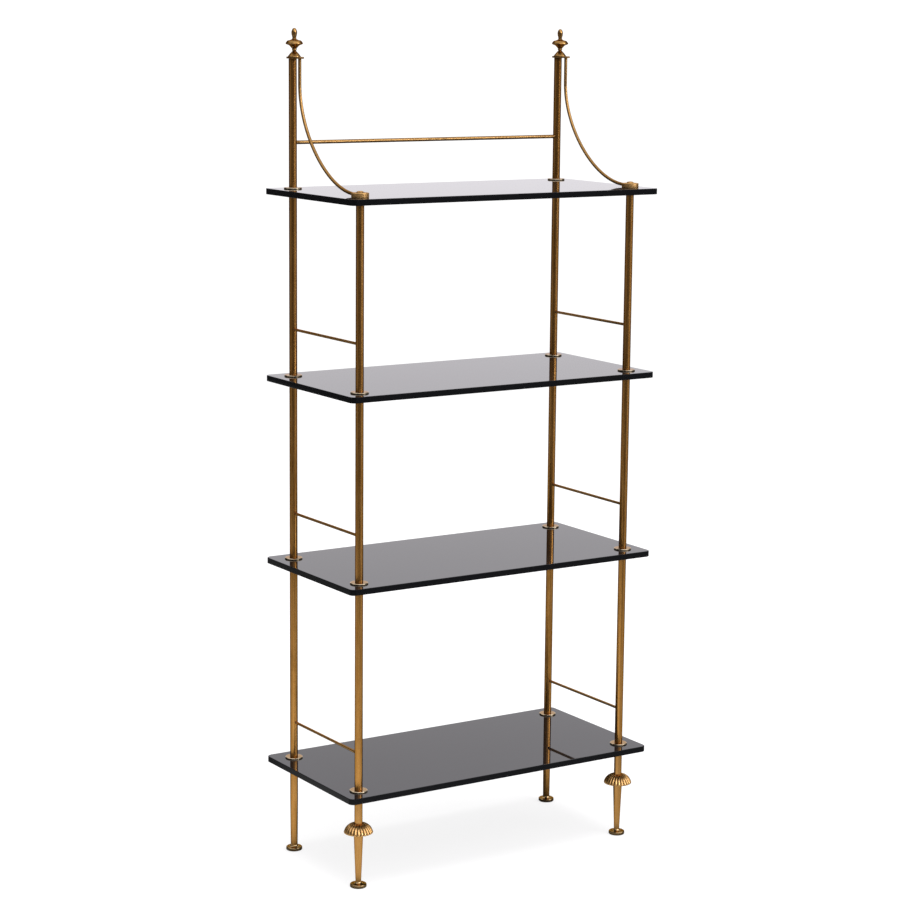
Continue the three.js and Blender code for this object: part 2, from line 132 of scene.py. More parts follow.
class NodeSketch:
    """Short calls for building a shader or geometry node tree."""

    def __init__(self, tree: bpy.types.NodeTree) -> None:
        """Keeps the tree that the nodes go into."""
        self.tree = tree

    def node(self, kind: str, inputs: dict | None = None, **settings: object) -> bpy.types.Node:
        """Adds a node.

        Args:
            kind: the node's type name.
            inputs: values or sockets, by the name or the number of the input.
            settings: the node's own properties.

        Returns:
            The new node.
        """
        made = self.tree.nodes.new(kind)
        for key, value in settings.items():
            setattr(made, key, value)
        self.feed(made, inputs or {})
        return made

    def feed(self, node: bpy.types.Node, inputs: dict) -> None:
        """Links a node's inputs, or sets their own values.

        Args:
            node: the node.
            inputs: values or sockets, by the name or the number of the input.
        """
        for key, value in inputs.items():
            socket = node.inputs[key]
            if isinstance(value, Socket):
                self.tree.links.new(value, socket)
            elif isinstance(value, tuple) and len(value) == 3 and socket.type == "RGBA":
                socket.default_value = (*value, 1.0)
            else:
                socket.default_value = value

    def math(self, operation: str, *values: object) -> Socket:
        """A sum on numbers.

        Args:
            operation: the Math node's operation, with _CLAMP behind it where the result stays from 0 to 1.
            values: one to three numbers or sockets.

        Returns:
            The result's socket.
        """
        clamp = operation.endswith("_CLAMP")
        made = self.node("ShaderNodeMath", dict(enumerate(values)), use_clamp=clamp,
                         operation=operation.removesuffix("_CLAMP"))
        return made.outputs[0]

    def product(self, first: object, *others: object) -> Socket:
        """Numbers multiplied with each other.

        Args:
            first: the first number or socket.
            others: the other ones.

        Returns:
            The result's socket.
        """
        for other in others:
            first = self.math("MULTIPLY", first, other)
        return first

    def total(self, first: object, *others: object) -> Socket:
        """Numbers added up.

        Args:
            first: the first number or socket.
            others: the other ones.

        Returns:
            The result's socket.
        """
        for other in others:
            first = self.math("ADD", first, other)
        return first

    def less(self, whole: object, taken: object) -> Socket:
        """What is left of a number when another is taken away."""
        return self.math("SUBTRACT", whole, taken)

    def vector(self, operation: str, *values: object) -> Socket:
        """A sum on one or two vectors."""
        made = self.node("ShaderNodeVectorMath", dict(enumerate(values)), operation=operation)
        return made.outputs["Vector"]

    def between(self, share: object, first: object, second: object) -> Socket:
        """A vector on the way between two.

        Args:
            share: how far it has come, from 0 to 1.
            first: where the way starts.
            second: where it ends.

        Returns:
            The vector's socket.
        """
        made = self.node("ShaderNodeMix", {0: share, 4: first, 5: second}, data_type="VECTOR",
                         clamp_factor=False)
        return made.outputs[1]

    def blend(self, share: object, first: object, second: object) -> Socket:
        """A colour on the way from the first to the second."""
        made = self.node("ShaderNodeMix", {0: share, 6: first, 7: second}, data_type="RGBA")
        return made.outputs[2]

    def step(self, value: object, low: object, high: object, at_low: object = 0.0,
             at_high: object = 1.0) -> Socket:
        """A smooth step of a value between two levels.

        Args:
            value: the value.
            low: where the step begins.
            high: where the step ends.
            at_low: the result up to low.
            at_high: the result from high on.

        Returns:
            The result's socket.
        """
        names = {"Value": value, "From Min": low, "From Max": high, "To Min": at_low, "To Max": at_high}
        return self.node("ShaderNodeMapRange", names, interpolation_type="SMOOTHSTEP").outputs["Result"]

    def fade(self, value: object, *fades: Fade) -> Socket:
        """All fades of a value, multiplied with each other."""
        return self.product(*(self.step(value, f.low, f.high, f.at_low, f.at_high) for f in fades))

    def noise(self, vector: object, scale: float, detail: float, roughness: float = 0.5,
              distortion: float = 0.0) -> Socket:
        """Soft noise from 0 to 1.

        Args:
            vector: where it is read.
            scale: how many of its largest waves fit in a metre.
            detail: how many finer layers lie over them.
            roughness: how strong those are.
            distortion: how much it is warped.

        Returns:
            The noise's socket.
        """
        names = {"Vector": vector, "Scale": scale, "Detail": detail, "Roughness": roughness,
                 "Distortion": distortion}
        return self.node("ShaderNodeTexNoise", names).outputs["Fac"]

    def attribute(self, name: str) -> Socket:
        """A number kept on the points of the mesh."""
        return self.node("ShaderNodeAttribute", attribute_name=name).outputs["Fac"]

    def relief(self, height: object, strength: float, distance: float) -> Socket:
        """A normal that follows a height."""
        made = self.node("ShaderNodeBump", {"Strength": strength, "Distance": distance, "Height": height})
        return made.outputs["Normal"]


def new_group(name: str, kind: str, takes: dict[str, tuple[str, object]],
              gives: dict[str, str]) -> tuple[NodeSketch, bpy.types.Node, bpy.types.Node]:
    """Starts a node group with named inputs and outputs.

    Args:
        name: the group's name.
        kind: "ShaderNodeTree" or "GeometryNodeTree".
        takes: the inputs' socket types and first values, by name.
        gives: the outputs' socket types, by name.

    Returns:
        The sketch of the tree, its input node and its output node.
    """
    tree = bpy.data.node_groups.new(name, kind)
    for title, (socket_type, value) in takes.items():
        socket = tree.interface.new_socket(name=title, in_out="INPUT", socket_type=socket_type)
        if value is not None:
            socket.default_value = value
    for title, socket_type in gives.items():
        tree.interface.new_socket(name=title, in_out="OUTPUT", socket_type=socket_type)
    sketch = NodeSketch(tree)
    return sketch, sketch.node("NodeGroupInput"), sketch.node("NodeGroupOutput")


def shared(name: str, build: Callable[[str], bpy.types.NodeTree]) -> bpy.types.NodeTree:
    """A node group that is built once and used by several materials or pieces.

    Args:
        name: the group's name.
        build: the function that builds it under that name.

    Returns:
        The group.
    """
    if name not in bpy.data.node_groups:
        build(name)
    return bpy.data.node_groups[name]


def patina_group(name: str) -> bpy.types.NodeTree:
    """Masks of aged brass: brown tarnish in long clouds, fine mottling, rubbed streaks and dark specks.

    Args:
        name: the group's name.

    Returns:
        The group.
    """
    clean_level, tarnish_drop, softness = 0.78, 0.6, 0.26  # clouds above the level are brown
    cloud_stretch = (1.0, 1.0, 0.35)
    speck_edge = Fade(0.68, 0.76)
    sketch, takes, gives = new_group(
        name, "ShaderNodeTree",
        {"Place": (VECTOR, None), "Grain": (VECTOR, None), "Tarnish": (NUMBER, 0.5)},
        {"Tarnish": NUMBER, "Mottle": NUMBER, "Streak": NUMBER, "Specks": NUMBER},
    )
    place = takes.outputs["Place"]
    clouds = sketch.noise(sketch.vector("MULTIPLY", place, cloud_stretch), scale=17.0, detail=6.0,
                          roughness=0.62, distortion=0.4)
    low = sketch.less(clean_level, sketch.product(takes.outputs["Tarnish"], tarnish_drop))
    sketch.feed(gives, {
        "Tarnish": sketch.step(clouds, low, sketch.total(low, softness)),
        "Mottle": sketch.noise(place, scale=210.0, detail=5.0, roughness=0.6, distortion=0.2),
        "Streak": sketch.noise(takes.outputs["Grain"], scale=620.0, detail=3.0, roughness=0.55),
        "Specks": sketch.fade(sketch.noise(place, scale=420.0, detail=2.0), speck_edge),
    })
    return sketch.tree


def edge_wear_group(name: str) -> bpy.types.NodeTree:
    """Masks of rubbed edges and of dirty corners, which also carry painted highlights and painted shade,
    broken up by noise.

    Args:
        name: the group's name.

    Returns:
        The group.
    """
    rubbed_patches = Fade(0.3, 0.6, 0.35, 1.0)
    wiped_patches = Fade(0.25, 0.7, 1.0, 0.45)
    sketch, takes, gives = new_group(
        name, "ShaderNodeTree",
        {"Place": (VECTOR, None), "Wear": (NUMBER, 0.0), "Grime and shade": (NUMBER, 0.0)},
        {"Worn": NUMBER, "Dirty and shaded": NUMBER},
    )
    patchy = sketch.noise(takes.outputs["Place"], scale=160.0, detail=4.0, roughness=0.6)
    sketch.feed(gives, {
        "Worn": sketch.math("MULTIPLY_CLAMP", takes.outputs["Wear"], sketch.fade(patchy, rubbed_patches)),
        "Dirty and shaded": sketch.math("MULTIPLY_CLAMP", takes.outputs["Grime and shade"], sketch.fade(patchy, wiped_patches)),
    })
    return sketch.tree


def film_group(name: str) -> bpy.types.NodeTree:
    """Masks of a wiped surface: a thin cloudy film, wiping marks, and settled dust.

    Args:
        name: the group's name.

    Returns:
        The group.
    """
    wipe_stretch = (3.0, 30.0, 1.0)
    film_edge, wipe_edge, dust_edge = Fade(0.35, 0.75), Fade(0.5, 0.72), Fade(0.66, 0.74)
    sketch, takes, gives = new_group(
        name, "ShaderNodeTree", {"Place": (VECTOR, None)}, {"Film": NUMBER, "Wipes": NUMBER, "Dust": NUMBER})
    place = takes.outputs["Place"]
    cloudy = sketch.noise(place, scale=7.0, detail=5.0, roughness=0.55, distortion=0.6)
    strokes = sketch.noise(sketch.vector("MULTIPLY", place, wipe_stretch), scale=5.0, detail=4.0,
                           roughness=0.6, distortion=0.5)
    sketch.feed(gives, {
        "Film": sketch.fade(cloudy, film_edge),
        "Wipes": sketch.fade(strokes, wipe_edge),
        "Dust": sketch.fade(sketch.noise(place, scale=900.0, detail=2.0), dust_edge),
    })
    return sketch.tree


# Finishes


def start_material(name: str) -> tuple[bpy.types.Material, NodeSketch, bpy.types.Node, Socket]:
    """A new material with an empty Principled shader.

    Args:
        name: the material's name.

    Returns:
        The material, the sketch of its tree, the shader and the place on the object.
    """
    material = bpy.data.materials.new(name)
    material.use_nodes = True
    sketch = NodeSketch(material.node_tree)
    place = sketch.node("ShaderNodeTexCoord").outputs["Object"]
    return material, sketch, material.node_tree.nodes["Principled BSDF"], place


@dataclass(frozen=True)
class Finish:
    """A finish, whose material is built once and then found by its name."""

    name: str

    def material(self) -> bpy.types.Material:
        """Builds the finish, or finds the one that is already built.

        Returns:
            The material.
        """
        if self.name in bpy.data.materials:
            return bpy.data.materials[self.name]
        material, sketch, shader, place = start_material(self.name)
        sketch.feed(shader, self.dressing(sketch, place))
        return material

    def dressing(self, sketch: NodeSketch, place: Socket) -> dict[str, object]:
        """What goes into the shader; every finish has its own."""
        raise NotImplementedError


@dataclass(frozen=True)
class BrassFinish(Finish):
    """Aged brass: gold brown where it is handled, dark brown in clouds, bright along its edges with wear and
    painted highlights, and dark with dirt and painted shade.

    A field that ends in share says how far a mask takes the colour, the roughness, the metal or the relief.
    """

    grain: Grain = Grain.UPRIGHT
    tarnish: float = 0.5
    roughness: float = 0.3
    bright: Colour = (0.86, 0.53, 0.2)
    body: Colour = (0.5, 0.232, 0.05)
    brown: Colour = (0.3, 0.125, 0.018)
    dirt: Colour = (0.035, 0.018, 0.007)
    grazing: Colour = (0.3, 0.16, 0.06)
    mottled_share: float = 0.3
    streak_bright_share: float = 0.24
    speck_dirt_share: float = 0.5
    worn_and_highlit_share: float = 0.75
    dirty_and_shaded_share: float = 0.92
    rough_share: float = 0.1
    dirty_and_shaded_rough_share: float = 0.25
    dirty_and_shaded_dull_share: float = 0.2
    streak_relief_share: float = 0.3
    mottle_relief_share: float = 0.15
    speck_relief_share: float = 0.5
    relief_strength: float = 0.18
    relief_depth: float = 0.25 * MM

    def dressing(self, sketch: NodeSketch, place: Socket) -> dict[str, object]:
        """What goes into the shader.

        Args:
            sketch: the material's sketch.
            place: the place on the object.

        Returns:
            The shader's inputs, by name.
        """
        along = sketch.vector("MULTIPLY", place, self.grain.value)
        patina = sketch.node("ShaderNodeGroup", {"Place": place, "Grain": along, "Tarnish": self.tarnish},
                             node_tree=shared("Brass patina", patina_group)).outputs
        edges = sketch.node("ShaderNodeGroup", {
            "Place": place, "Wear": sketch.attribute(WEAR), "Grime and shade": sketch.attribute(GRIME_AND_SHADE)},
            node_tree=shared("Edge wear", edge_wear_group)).outputs
        worn, dirty, specks = edges["Worn"], edges["Dirty and shaded"], patina["Specks"]
        mottle = sketch.fade(patina["Mottle"], MIDDLE)
        streak = sketch.fade(patina["Streak"], MIDDLE)
        uneven = sketch.product(sketch.less(mottle, 0.5), self.mottled_share)
        tarnish = sketch.math("ADD_CLAMP", patina["Tarnish"], uneven)
        metal = sketch.blend(tarnish, self.body, self.brown)
        # worn lays the bright colour as wear and as painted highlight; dirty lays the dirt colour as dirt and
        # as painted shade
        for mask, share, colour in (
                (streak, self.streak_bright_share, self.bright), (specks, self.speck_dirt_share, self.dirt),
                (worn, self.worn_and_highlit_share, self.bright), (dirty, self.dirty_and_shaded_share, self.dirt)):
            metal = sketch.blend(sketch.product(mask, share), metal, colour)
        rough = sketch.total(self.roughness, sketch.product(tarnish, self.rough_share),
                             sketch.product(sketch.less(streak, 0.5), self.rough_share),
                             sketch.product(dirty, self.dirty_and_shaded_rough_share))
        height = sketch.less(sketch.total(sketch.product(streak, self.streak_relief_share),
                                          sketch.product(mottle, self.mottle_relief_share)),
                             sketch.product(specks, self.speck_relief_share))
        return {
            "Base Color": metal,
            "Roughness": sketch.math("SUBTRACT_CLAMP", rough, sketch.product(worn, self.rough_share)),
            "Metallic": sketch.math("SUBTRACT_CLAMP", 1.0, sketch.product(dirty, self.dirty_and_shaded_dull_share)),
            "Normal": sketch.relief(height, self.relief_strength, self.relief_depth),
            "Specular Tint": self.grazing,
        }


@dataclass(frozen=True)
class GlassFinish(Finish):
    """Black glass: polished faces with a thin wiped film, and finely ground edges that shine less."""

    tint: Colour = (0.0055, 0.006, 0.0078)
    edge_tint: Colour = (0.0035, 0.0038, 0.0045)
    dust: Colour = (0.12, 0.12, 0.125)
    dust_share: float = 0.05
    roughness: float = 0.022
    film_roughness: float = 0.022
    wiped_roughness: float = 0.012
    ground_roughness: float = 0.1
    gloss: float = 0.5
    ground_gloss_loss: float = 0.42
    wave_strength: float = 0.05
    wave_depth: float = 0.4 * MM
    refraction: float = 1.52

    def dressing(self, sketch: NodeSketch, place: Socket) -> dict[str, object]:
        """What goes into the shader.

        Args:
            sketch: the material's sketch.
            place: the place on the object.

        Returns:
            The shader's inputs, by name.
        """
        film = sketch.node("ShaderNodeGroup", {"Place": place},
                           node_tree=shared("Wiped film", film_group)).outputs
        ground = sketch.attribute(WEAR)
        tint = sketch.blend(ground, self.tint, self.edge_tint)
        wave = sketch.noise(place, scale=6.0, detail=1.0, roughness=0.4)
        return {
            "Base Color": sketch.blend(sketch.product(film["Dust"], self.dust_share), tint, self.dust),
            "Roughness": sketch.total(self.roughness, sketch.product(film["Film"], self.film_roughness),
                                      sketch.product(film["Wipes"], self.wiped_roughness),
                                      sketch.product(ground, self.ground_roughness)),
            "Specular IOR Level": sketch.less(self.gloss, sketch.product(ground, self.ground_gloss_loss)),
            "Normal": sketch.relief(wave, self.wave_strength, self.wave_depth),
            "IOR": self.refraction,
        }


@dataclass(frozen=True)
class SteelFinish(Finish):
    """Plain steel rod with faint drawing lines and a few rust blooms."""

    metal: Colour = (0.46, 0.46, 0.47)
    rust: Colour = (0.24, 0.11, 0.05)
    bloom_edge: Fade = Fade(0.58, 0.74)
    bloom_dull: float = 0.6
    roughness: float = 0.3
    line_roughness: float = 0.25
    line_strength: float = 0.2
    line_depth: float = 0.1 * MM

    def dressing(self, sketch: NodeSketch, place: Socket) -> dict[str, object]:
        """What goes into the shader.

        Args:
            sketch: the material's sketch.
            place: the place on the object.

        Returns:
            The shader's inputs, by name.
        """
        drawn = sketch.vector("MULTIPLY", place, Grain.UPRIGHT.value)
        lines = sketch.noise(drawn, scale=900.0, detail=3.0)
        bloom = sketch.fade(sketch.noise(place, scale=60.0, detail=6.0, roughness=0.65), self.bloom_edge)
        return {
            "Base Color": sketch.blend(bloom, self.metal, self.rust),
            "Roughness": sketch.total(self.roughness, sketch.product(lines, self.line_roughness)),
            "Metallic": sketch.less(1.0, sketch.product(bloom, self.bloom_dull)),
            "Normal": sketch.relief(lines, self.line_strength, self.line_depth),
        }


POST_BRASS = BrassFinish("post_brass", roughness=0.24)
DARK_POST_BRASS = BrassFinish("dark_post_brass", roughness=0.24, body=(0.4, 0.178, 0.033),
                              brown=(0.24, 0.098, 0.012))
BRACKET_BRASS = BrassFinish("bracket_brass", tarnish=0.4, roughness=0.36, body=(0.47, 0.262, 0.085),
                            brown=(0.3, 0.15, 0.04), dirt=(0.16, 0.09, 0.032), grazing=(0.5, 0.34, 0.2))
LEG_BRASS = BrassFinish("leg_brass", tarnish=0.25, roughness=0.26, body=(0.5, 0.25, 0.07))
REAR_LEG_BRASS = BrassFinish("rear_leg_brass", tarnish=0.4, roughness=0.26, body=(0.52, 0.245, 0.056))
FINIAL_BRASS = BrassFinish("finial_brass", grain=Grain.TURNED, roughness=0.22, body=(0.35, 0.19, 0.055),
                           brown=(0.19, 0.095, 0.024))
# The collars' bright paints their rim highlight, and their near-black dirt paints the shade along the glass.
COLLAR_BRASS = BrassFinish("collar_brass", grain=Grain.TURNED, tarnish=0.08, roughness=0.17,
                           body=(0.68, 0.46, 0.22), brown=(0.4, 0.22, 0.08), bright=(1.0, 0.9, 0.66),
                           dirt=(0.008, 0.004, 0.002), grazing=(0.66, 0.59, 0.57))
CAP_BRASS = BrassFinish("cap_brass", grain=Grain.TURNED, tarnish=0.1, roughness=0.46, body=(0.75, 0.46, 0.18),
                        grazing=(0.68, 0.52, 0.38))
# The feet's bright also paints the highlight on the seam round the leg.
FOOT_BRASS = BrassFinish("foot_brass", grain=Grain.TURNED, roughness=0.16, body=(0.22, 0.135, 0.058),
                         brown=(0.12, 0.07, 0.028), bright=(0.95, 0.68, 0.34), dirt=(0.11, 0.063, 0.024),
                         grazing=(0.42, 0.28, 0.16))
# The skirts' bright also paints the highlights along the rib crests.
SKIRT_BRASS = BrassFinish("skirt_brass", tarnish=0.2, roughness=0.33, body=(0.66, 0.37, 0.125),
                          bright=(0.86, 0.56, 0.24))
RAIL_BRASS = BrassFinish("rail_brass", grain=Grain.FRONT_TO_REAR, tarnish=0.4, body=(0.66, 0.4, 0.162),
                         brown=(0.4, 0.23, 0.085))
CROSSBAR_BRASS = BrassFinish("crossbar_brass", grain=Grain.SIDE_TO_SIDE, tarnish=0.4, roughness=0.34,
                             body=(0.31, 0.175, 0.06), brown=(0.18, 0.09, 0.026))
SHELF_GLASS = GlassFinish("shelf_glass")
ROD_STEEL = SteelFinish("rod_steel")


# Turned outlines


@dataclass(frozen=True)
class Station:
    """One ring of a turned piece: its radius and height, and how worn or dirty it is, painted highlight and
    shade included.
    """

    radius: float
    height: float
    wear: float = 0.0
    grime_and_shade: float = 0.0

    def darkened(self, dirt: float) -> "Station":
        """The ring darkened at least this much."""
        return replace(self, grime_and_shade=max(self.grime_and_shade, dirt))


def gathered(distance: float, reach: float, squareness: int = 1) -> float:
    """How dark a ring is made at a distance from a corner: 1 in it and under it, and less further off."""
    return math.exp(-((max(distance, 0.0) / reach) ** squareness))


@dataclass(frozen=True)
class Outline:
    """The outline of a turned piece, from corner points to rings with small fillets.

    It runs so that the metal lies on its left: outwards at the bottom, up outside and inwards at the top.
    Wear and dirt reach about one spread from a crest or hollow, and are full from a certain bend per metre.
    """

    fillet: float = 0.4 * MM
    fillet_steps: int = 4
    fillet_room_share: float = 0.42
    spread: float = 1.4 * MM
    support_shares: tuple[float, ...] = (0.6, 2.2)
    long_share: float = 5.0
    sharp_turn: float = math.radians(24)
    full_crest: float = 1100.0
    full_hollow: float = 500.0
    fading: float = 2.0

    def softened(self, corners: Sequence[Point], closed: bool) -> list[Point]:
        """Replaces each sharp corner by a small arc.

        Args:
            corners: the outline's corner points, as radius and height.
            closed: whether the outline comes back to its first point.

        Returns:
            The points of the softened outline.
        """
        count = len(corners)
        points: list[Point] = []
        for i, corner in enumerate(corners):
            here = Vector(corner)
            if not closed and i in (0, count - 1):
                points.append(corner)
                continue
            before = Vector(corners[i - 1]) - here
            after = Vector(corners[(i + 1) % count]) - here
            turn = math.pi - before.angle(after)
            if turn < self.sharp_turn:
                points.append(corner)
                continue
            room = self.fillet_room_share * min(before.length, after.length)
            reach = min(self.fillet * math.tan(turn / 2), room)
            start = here + before.normalized() * reach
            end = here + after.normalized() * reach
            for k in range(self.fillet_steps + 1):
                t = k / self.fillet_steps
                arc = start * (1 - t) ** 2 + here * (2 * t * (1 - t)) + end * t ** 2
                points.append((arc.x, arc.y))
        return points

    def supported(self, points: Sequence[Point], closed: bool) -> list[Point]:
        """Adds rings near both ends of each long straight, so that wear and dirt fade close to the edges.

        Args:
            points: the outline's points.
            closed: whether the outline comes back to its first point.

        Returns:
            The points with those added.
        """
        rows: list[Point] = []
        for i in range(len(points) if closed else len(points) - 1):
            start = Vector(points[i])
            end = Vector(points[(i + 1) % len(points)])
            rows.append(points[i])
            length = (end - start).length
            if length > self.long_share * self.spread:
                near = [share * self.spread / length for share in self.support_shares]
                for share in (*near, *(1 - share for share in reversed(near))):
                    spot = start.lerp(end, share)
                    rows.append((spot.x, spot.y))
        if not closed:
            rows.append(points[-1])
        return rows

    def bends(self, points: Sequence[Point], closed: bool) -> list[float]:
        """How sharply the outline bends at each point.

        Args:
            points: the outline's points.
            closed: whether the outline comes back to its first point.

        Returns:
            The bends per metre: above 0 on a crest, below 0 in a hollow.
        """
        count = len(points)
        found = []
        for i in range(count):
            if not closed and i in (0, count - 1):
                found.append(0.0)
                continue
            first = Vector(points[i]) - Vector(points[i - 1])
            second = Vector(points[(i + 1) % count]) - Vector(points[i])
            run = (first.length + second.length) / 2
            turn = first.angle_signed(second, 0.0) if first.length and second.length else 0.0
            found.append(-turn / run if run else 0.0)
        return found

    def stations(self, corners: Sequence[Point], closed: bool = False) -> list[Station]:
        """The rings of a turned piece, with their wear and dirt.

        Args:
            corners: the outline's corner points, as radius and height.
            closed: whether the outline comes back to its first point.

        Returns:
            The rings, in the outline's order.
        """
        points = self.supported(self.softened(corners, closed), closed)
        bends = self.bends(points, closed)
        rings = []
        for radius, height in points:
            wear = grime_and_shade = 0.0
            for (other_radius, other_height), bend in zip(points, bends):
                away = math.hypot(radius - other_radius, height - other_height)
                near = math.exp(-((away / self.spread) ** 2) * self.fading)
                wear = max(wear, near * min(1.0, bend / self.full_crest))
                grime_and_shade = max(grime_and_shade, near * min(1.0, -bend / self.full_hollow))
            rings.append(Station(radius, height, wear, grime_and_shade))
        return rings


def flowing(points: Sequence[Point], steps: int = 5) -> list[Point]:
    """A smooth line through points.

    Args:
        points: the points that it passes.
        steps: how many pieces each stretch is cut into.

    Returns:
        The points of the smooth line.
    """
    line: list[Point] = []
    last = len(points) - 1
    for i in range(last):
        p0, p1, p2, p3 = (Vector(points[min(max(j, 0), last)]) for j in (i - 1, i, i + 1, i + 2))
        for k in range(steps):
            t = k / steps
            spot = 0.5 * (2 * p1 + (p2 - p0) * t + (2 * p0 - 5 * p1 + 4 * p2 - p3) * t ** 2
                          + (3 * p1 - p0 - 3 * p2 + p3) * t ** 3)
            line.append((max(spot.x, 0.0), spot.y))
    line.append(tuple(points[-1]))
    return line


# Meshes


def smoothed(mesh: bpy.types.Mesh) -> bpy.types.Mesh:
    """Shades a mesh smooth but for its sharp edges.

    Args:
        mesh: the mesh.

    Returns:
        The same mesh.
    """
    mesh.shade_smooth()
    mesh.set_sharp_from_angle(angle=SHARP_EDGE)
    return mesh


def circle(radius: float, height: float, sides: int) -> list[Vector]:
    """A level circle round the Z axis, anticlockwise from above."""
    turns = (2 * math.pi * k / sides for k in range(sides))
    return [Vector((radius * math.cos(turn), radius * math.sin(turn), height)) for turn in turns]


class Workpiece:
    """A mesh under construction: points with their wear and dirt, painted highlight and shade included, and
    the faces between them.
    """

    def __init__(self) -> None:
        """Starts with nothing."""
        self.points: list[Vector] = []
        self.wear: list[float] = []
        self.grime_and_shade: list[float] = []
        self.faces: list[tuple[int, ...]] = []

    def loop(self, points: Iterable[Vector], wear: float = 0.0, grime_and_shade: float = 0.0) -> list[int]:
        """Adds points that share their wear and dirt, painted highlight and shade included.

        Args:
            points: where they are.
            wear: how worn they are.
            grime_and_shade: how dirty they are.

        Returns:
            grime_and_shade: how dirty they are, painted shade included.
        """
        first = len(self.points)
        self.points.extend(points)
        added = len(self.points) - first
        self.wear.extend([wear] * added)
        self.grime_and_shade.extend([grime_and_shade] * added)
        return list(range(first, first + added))

    def skin(self, lower: Sequence[int], upper: Sequence[int]) -> None:
        """Joins two loops all round, with the outside outwards where they run anticlockwise.

        Args:
            lower: the point numbers of the lower loop.
            upper: those of the upper loop.
        """
        count = len(lower)
        for i in range(count):
            j = (i + 1) % count
            self.faces.append((lower[i], lower[j], upper[j], upper[i]))

    def fan(self, loop: Sequence[int], tip: int, upwards: bool) -> None:
        """Closes a loop with triangles to one point.

        Args:
            loop: the loop's point numbers.
            tip: the number of the point that they meet in.
            upwards: whether the triangles look up.
        """
        count = len(loop)
        for i in range(count):
            j = (i + 1) % count
            self.faces.append((loop[i], loop[j], tip) if upwards else (loop[j], loop[i], tip))

    def turn(self, rings: Iterable[Station], closed: bool = False, sides: int = ROUND_SIDES) -> None:
        """Turns an outline round the Z axis.

        Args:
            rings: the outline's rings; one with no radius is a point on the axis.
            closed: whether the last ring joins the first.
            sides: facets round the piece.
        """
        loops = []
        for ring in rings:
            around = 1 if ring.radius < ON_AXIS else sides
            loops.append(self.loop(circle(ring.radius, ring.height, around), ring.wear, ring.grime_and_shade))
        pairs = list(zip(loops, loops[1:]))
        if closed:
            pairs.append((loops[-1], loops[0]))
        for lower, upper in pairs:
            if len(lower) == 1:
                self.fan(upper, lower[0], upwards=False)
            elif len(upper) == 1:
                self.fan(lower, upper[0], upwards=True)
            else:
                self.skin(lower, upper)

    def mesh(self, name: str, place: Vector) -> bpy.types.Mesh:
        """Makes the mesh.

        Args:
            name: its name.
            place: where its own origin goes.

        Returns:
            The mesh, smooth, with its wear and dirt kept on its points.
        """
        mesh = bpy.data.meshes.new(name)
        mesh.from_pydata([p + place for p in self.points], [], self.faces)
        for title, values in ((WEAR, self.wear), (GRIME_AND_SHADE, self.grime_and_shade)):
            mesh.attributes.new(title, "FLOAT", "POINT").data.foreach_set("value", values)
        mesh.validate()
        return smoothed(mesh)


def turned(name: str, rings: Iterable[Station], place: Vector, closed: bool = False,
           sides: int = ROUND_SIDES) -> bpy.types.Mesh:
    """The mesh of a turned piece.

    Args:
        name: its name.
        rings: its rings.
        place: where the foot of its axis goes.
        closed: whether the last ring joins the first.
        sides: facets round the piece.

    Returns:
        The mesh.
    """
    work = Workpiece()
    work.turn(rings, closed, sides)
    return work.mesh(name, place)


def joined(name: str, meshes: Sequence[bpy.types.Mesh]) -> bpy.types.Mesh:
    """One mesh of several, for a piece that is brazed together.

    Args:
        name: the new mesh's name.
        meshes: the meshes, which are removed.

    Returns:
        The mesh that holds them all.
    """
    work = bmesh.new()
    for mesh in meshes:
        work.from_mesh(mesh)
    whole = bpy.data.meshes.new(name)
    work.to_mesh(whole)
    work.free()
    for mesh in meshes:
        bpy.data.meshes.remove(mesh)
    return smoothed(whole)


def linked(name: str, data: bpy.types.ID) -> bpy.types.Object:
    """Puts a new object into the scene.

    Args:
        name: the object's name.
        data: its mesh, lamp or camera.

    Returns:
        The object.
    """
    made = bpy.data.objects.new(name, data)
    bpy.context.scene.collection.objects.link(made)
    return made


def grown(name: str, tree: bpy.types.NodeTree, values: dict[str, object],
          start: bpy.types.Mesh | None = None) -> bpy.types.Mesh:
    """Runs a geometry node tree and keeps its result as a plain mesh.

    Args:
        name: the mesh's name.
        tree: the tree.
        values: its inputs, by name.
        start: the mesh that the tree starts from, where it needs one.

    Returns:
        The mesh.
    """
    source = linked(name + "_source", start or bpy.data.meshes.new(name + "_source"))
    modifier = source.modifiers.new("tree", "NODES")
    modifier.node_group = tree
    for socket in tree.interface.items_tree:
        if socket.item_type == "SOCKET" and socket.in_out == "INPUT" and socket.name in values:
            modifier[socket.identifier] = values[socket.name]
    bpy.context.view_layer.update()
    evaluated = source.evaluated_get(bpy.context.evaluated_depsgraph_get())
    mesh = bpy.data.meshes.new_from_object(evaluated)
    mesh.name = name
    source.modifiers.remove(modifier)
    old = source.data
    bpy.data.objects.remove(source)
    bpy.data.meshes.remove(old)
    return mesh


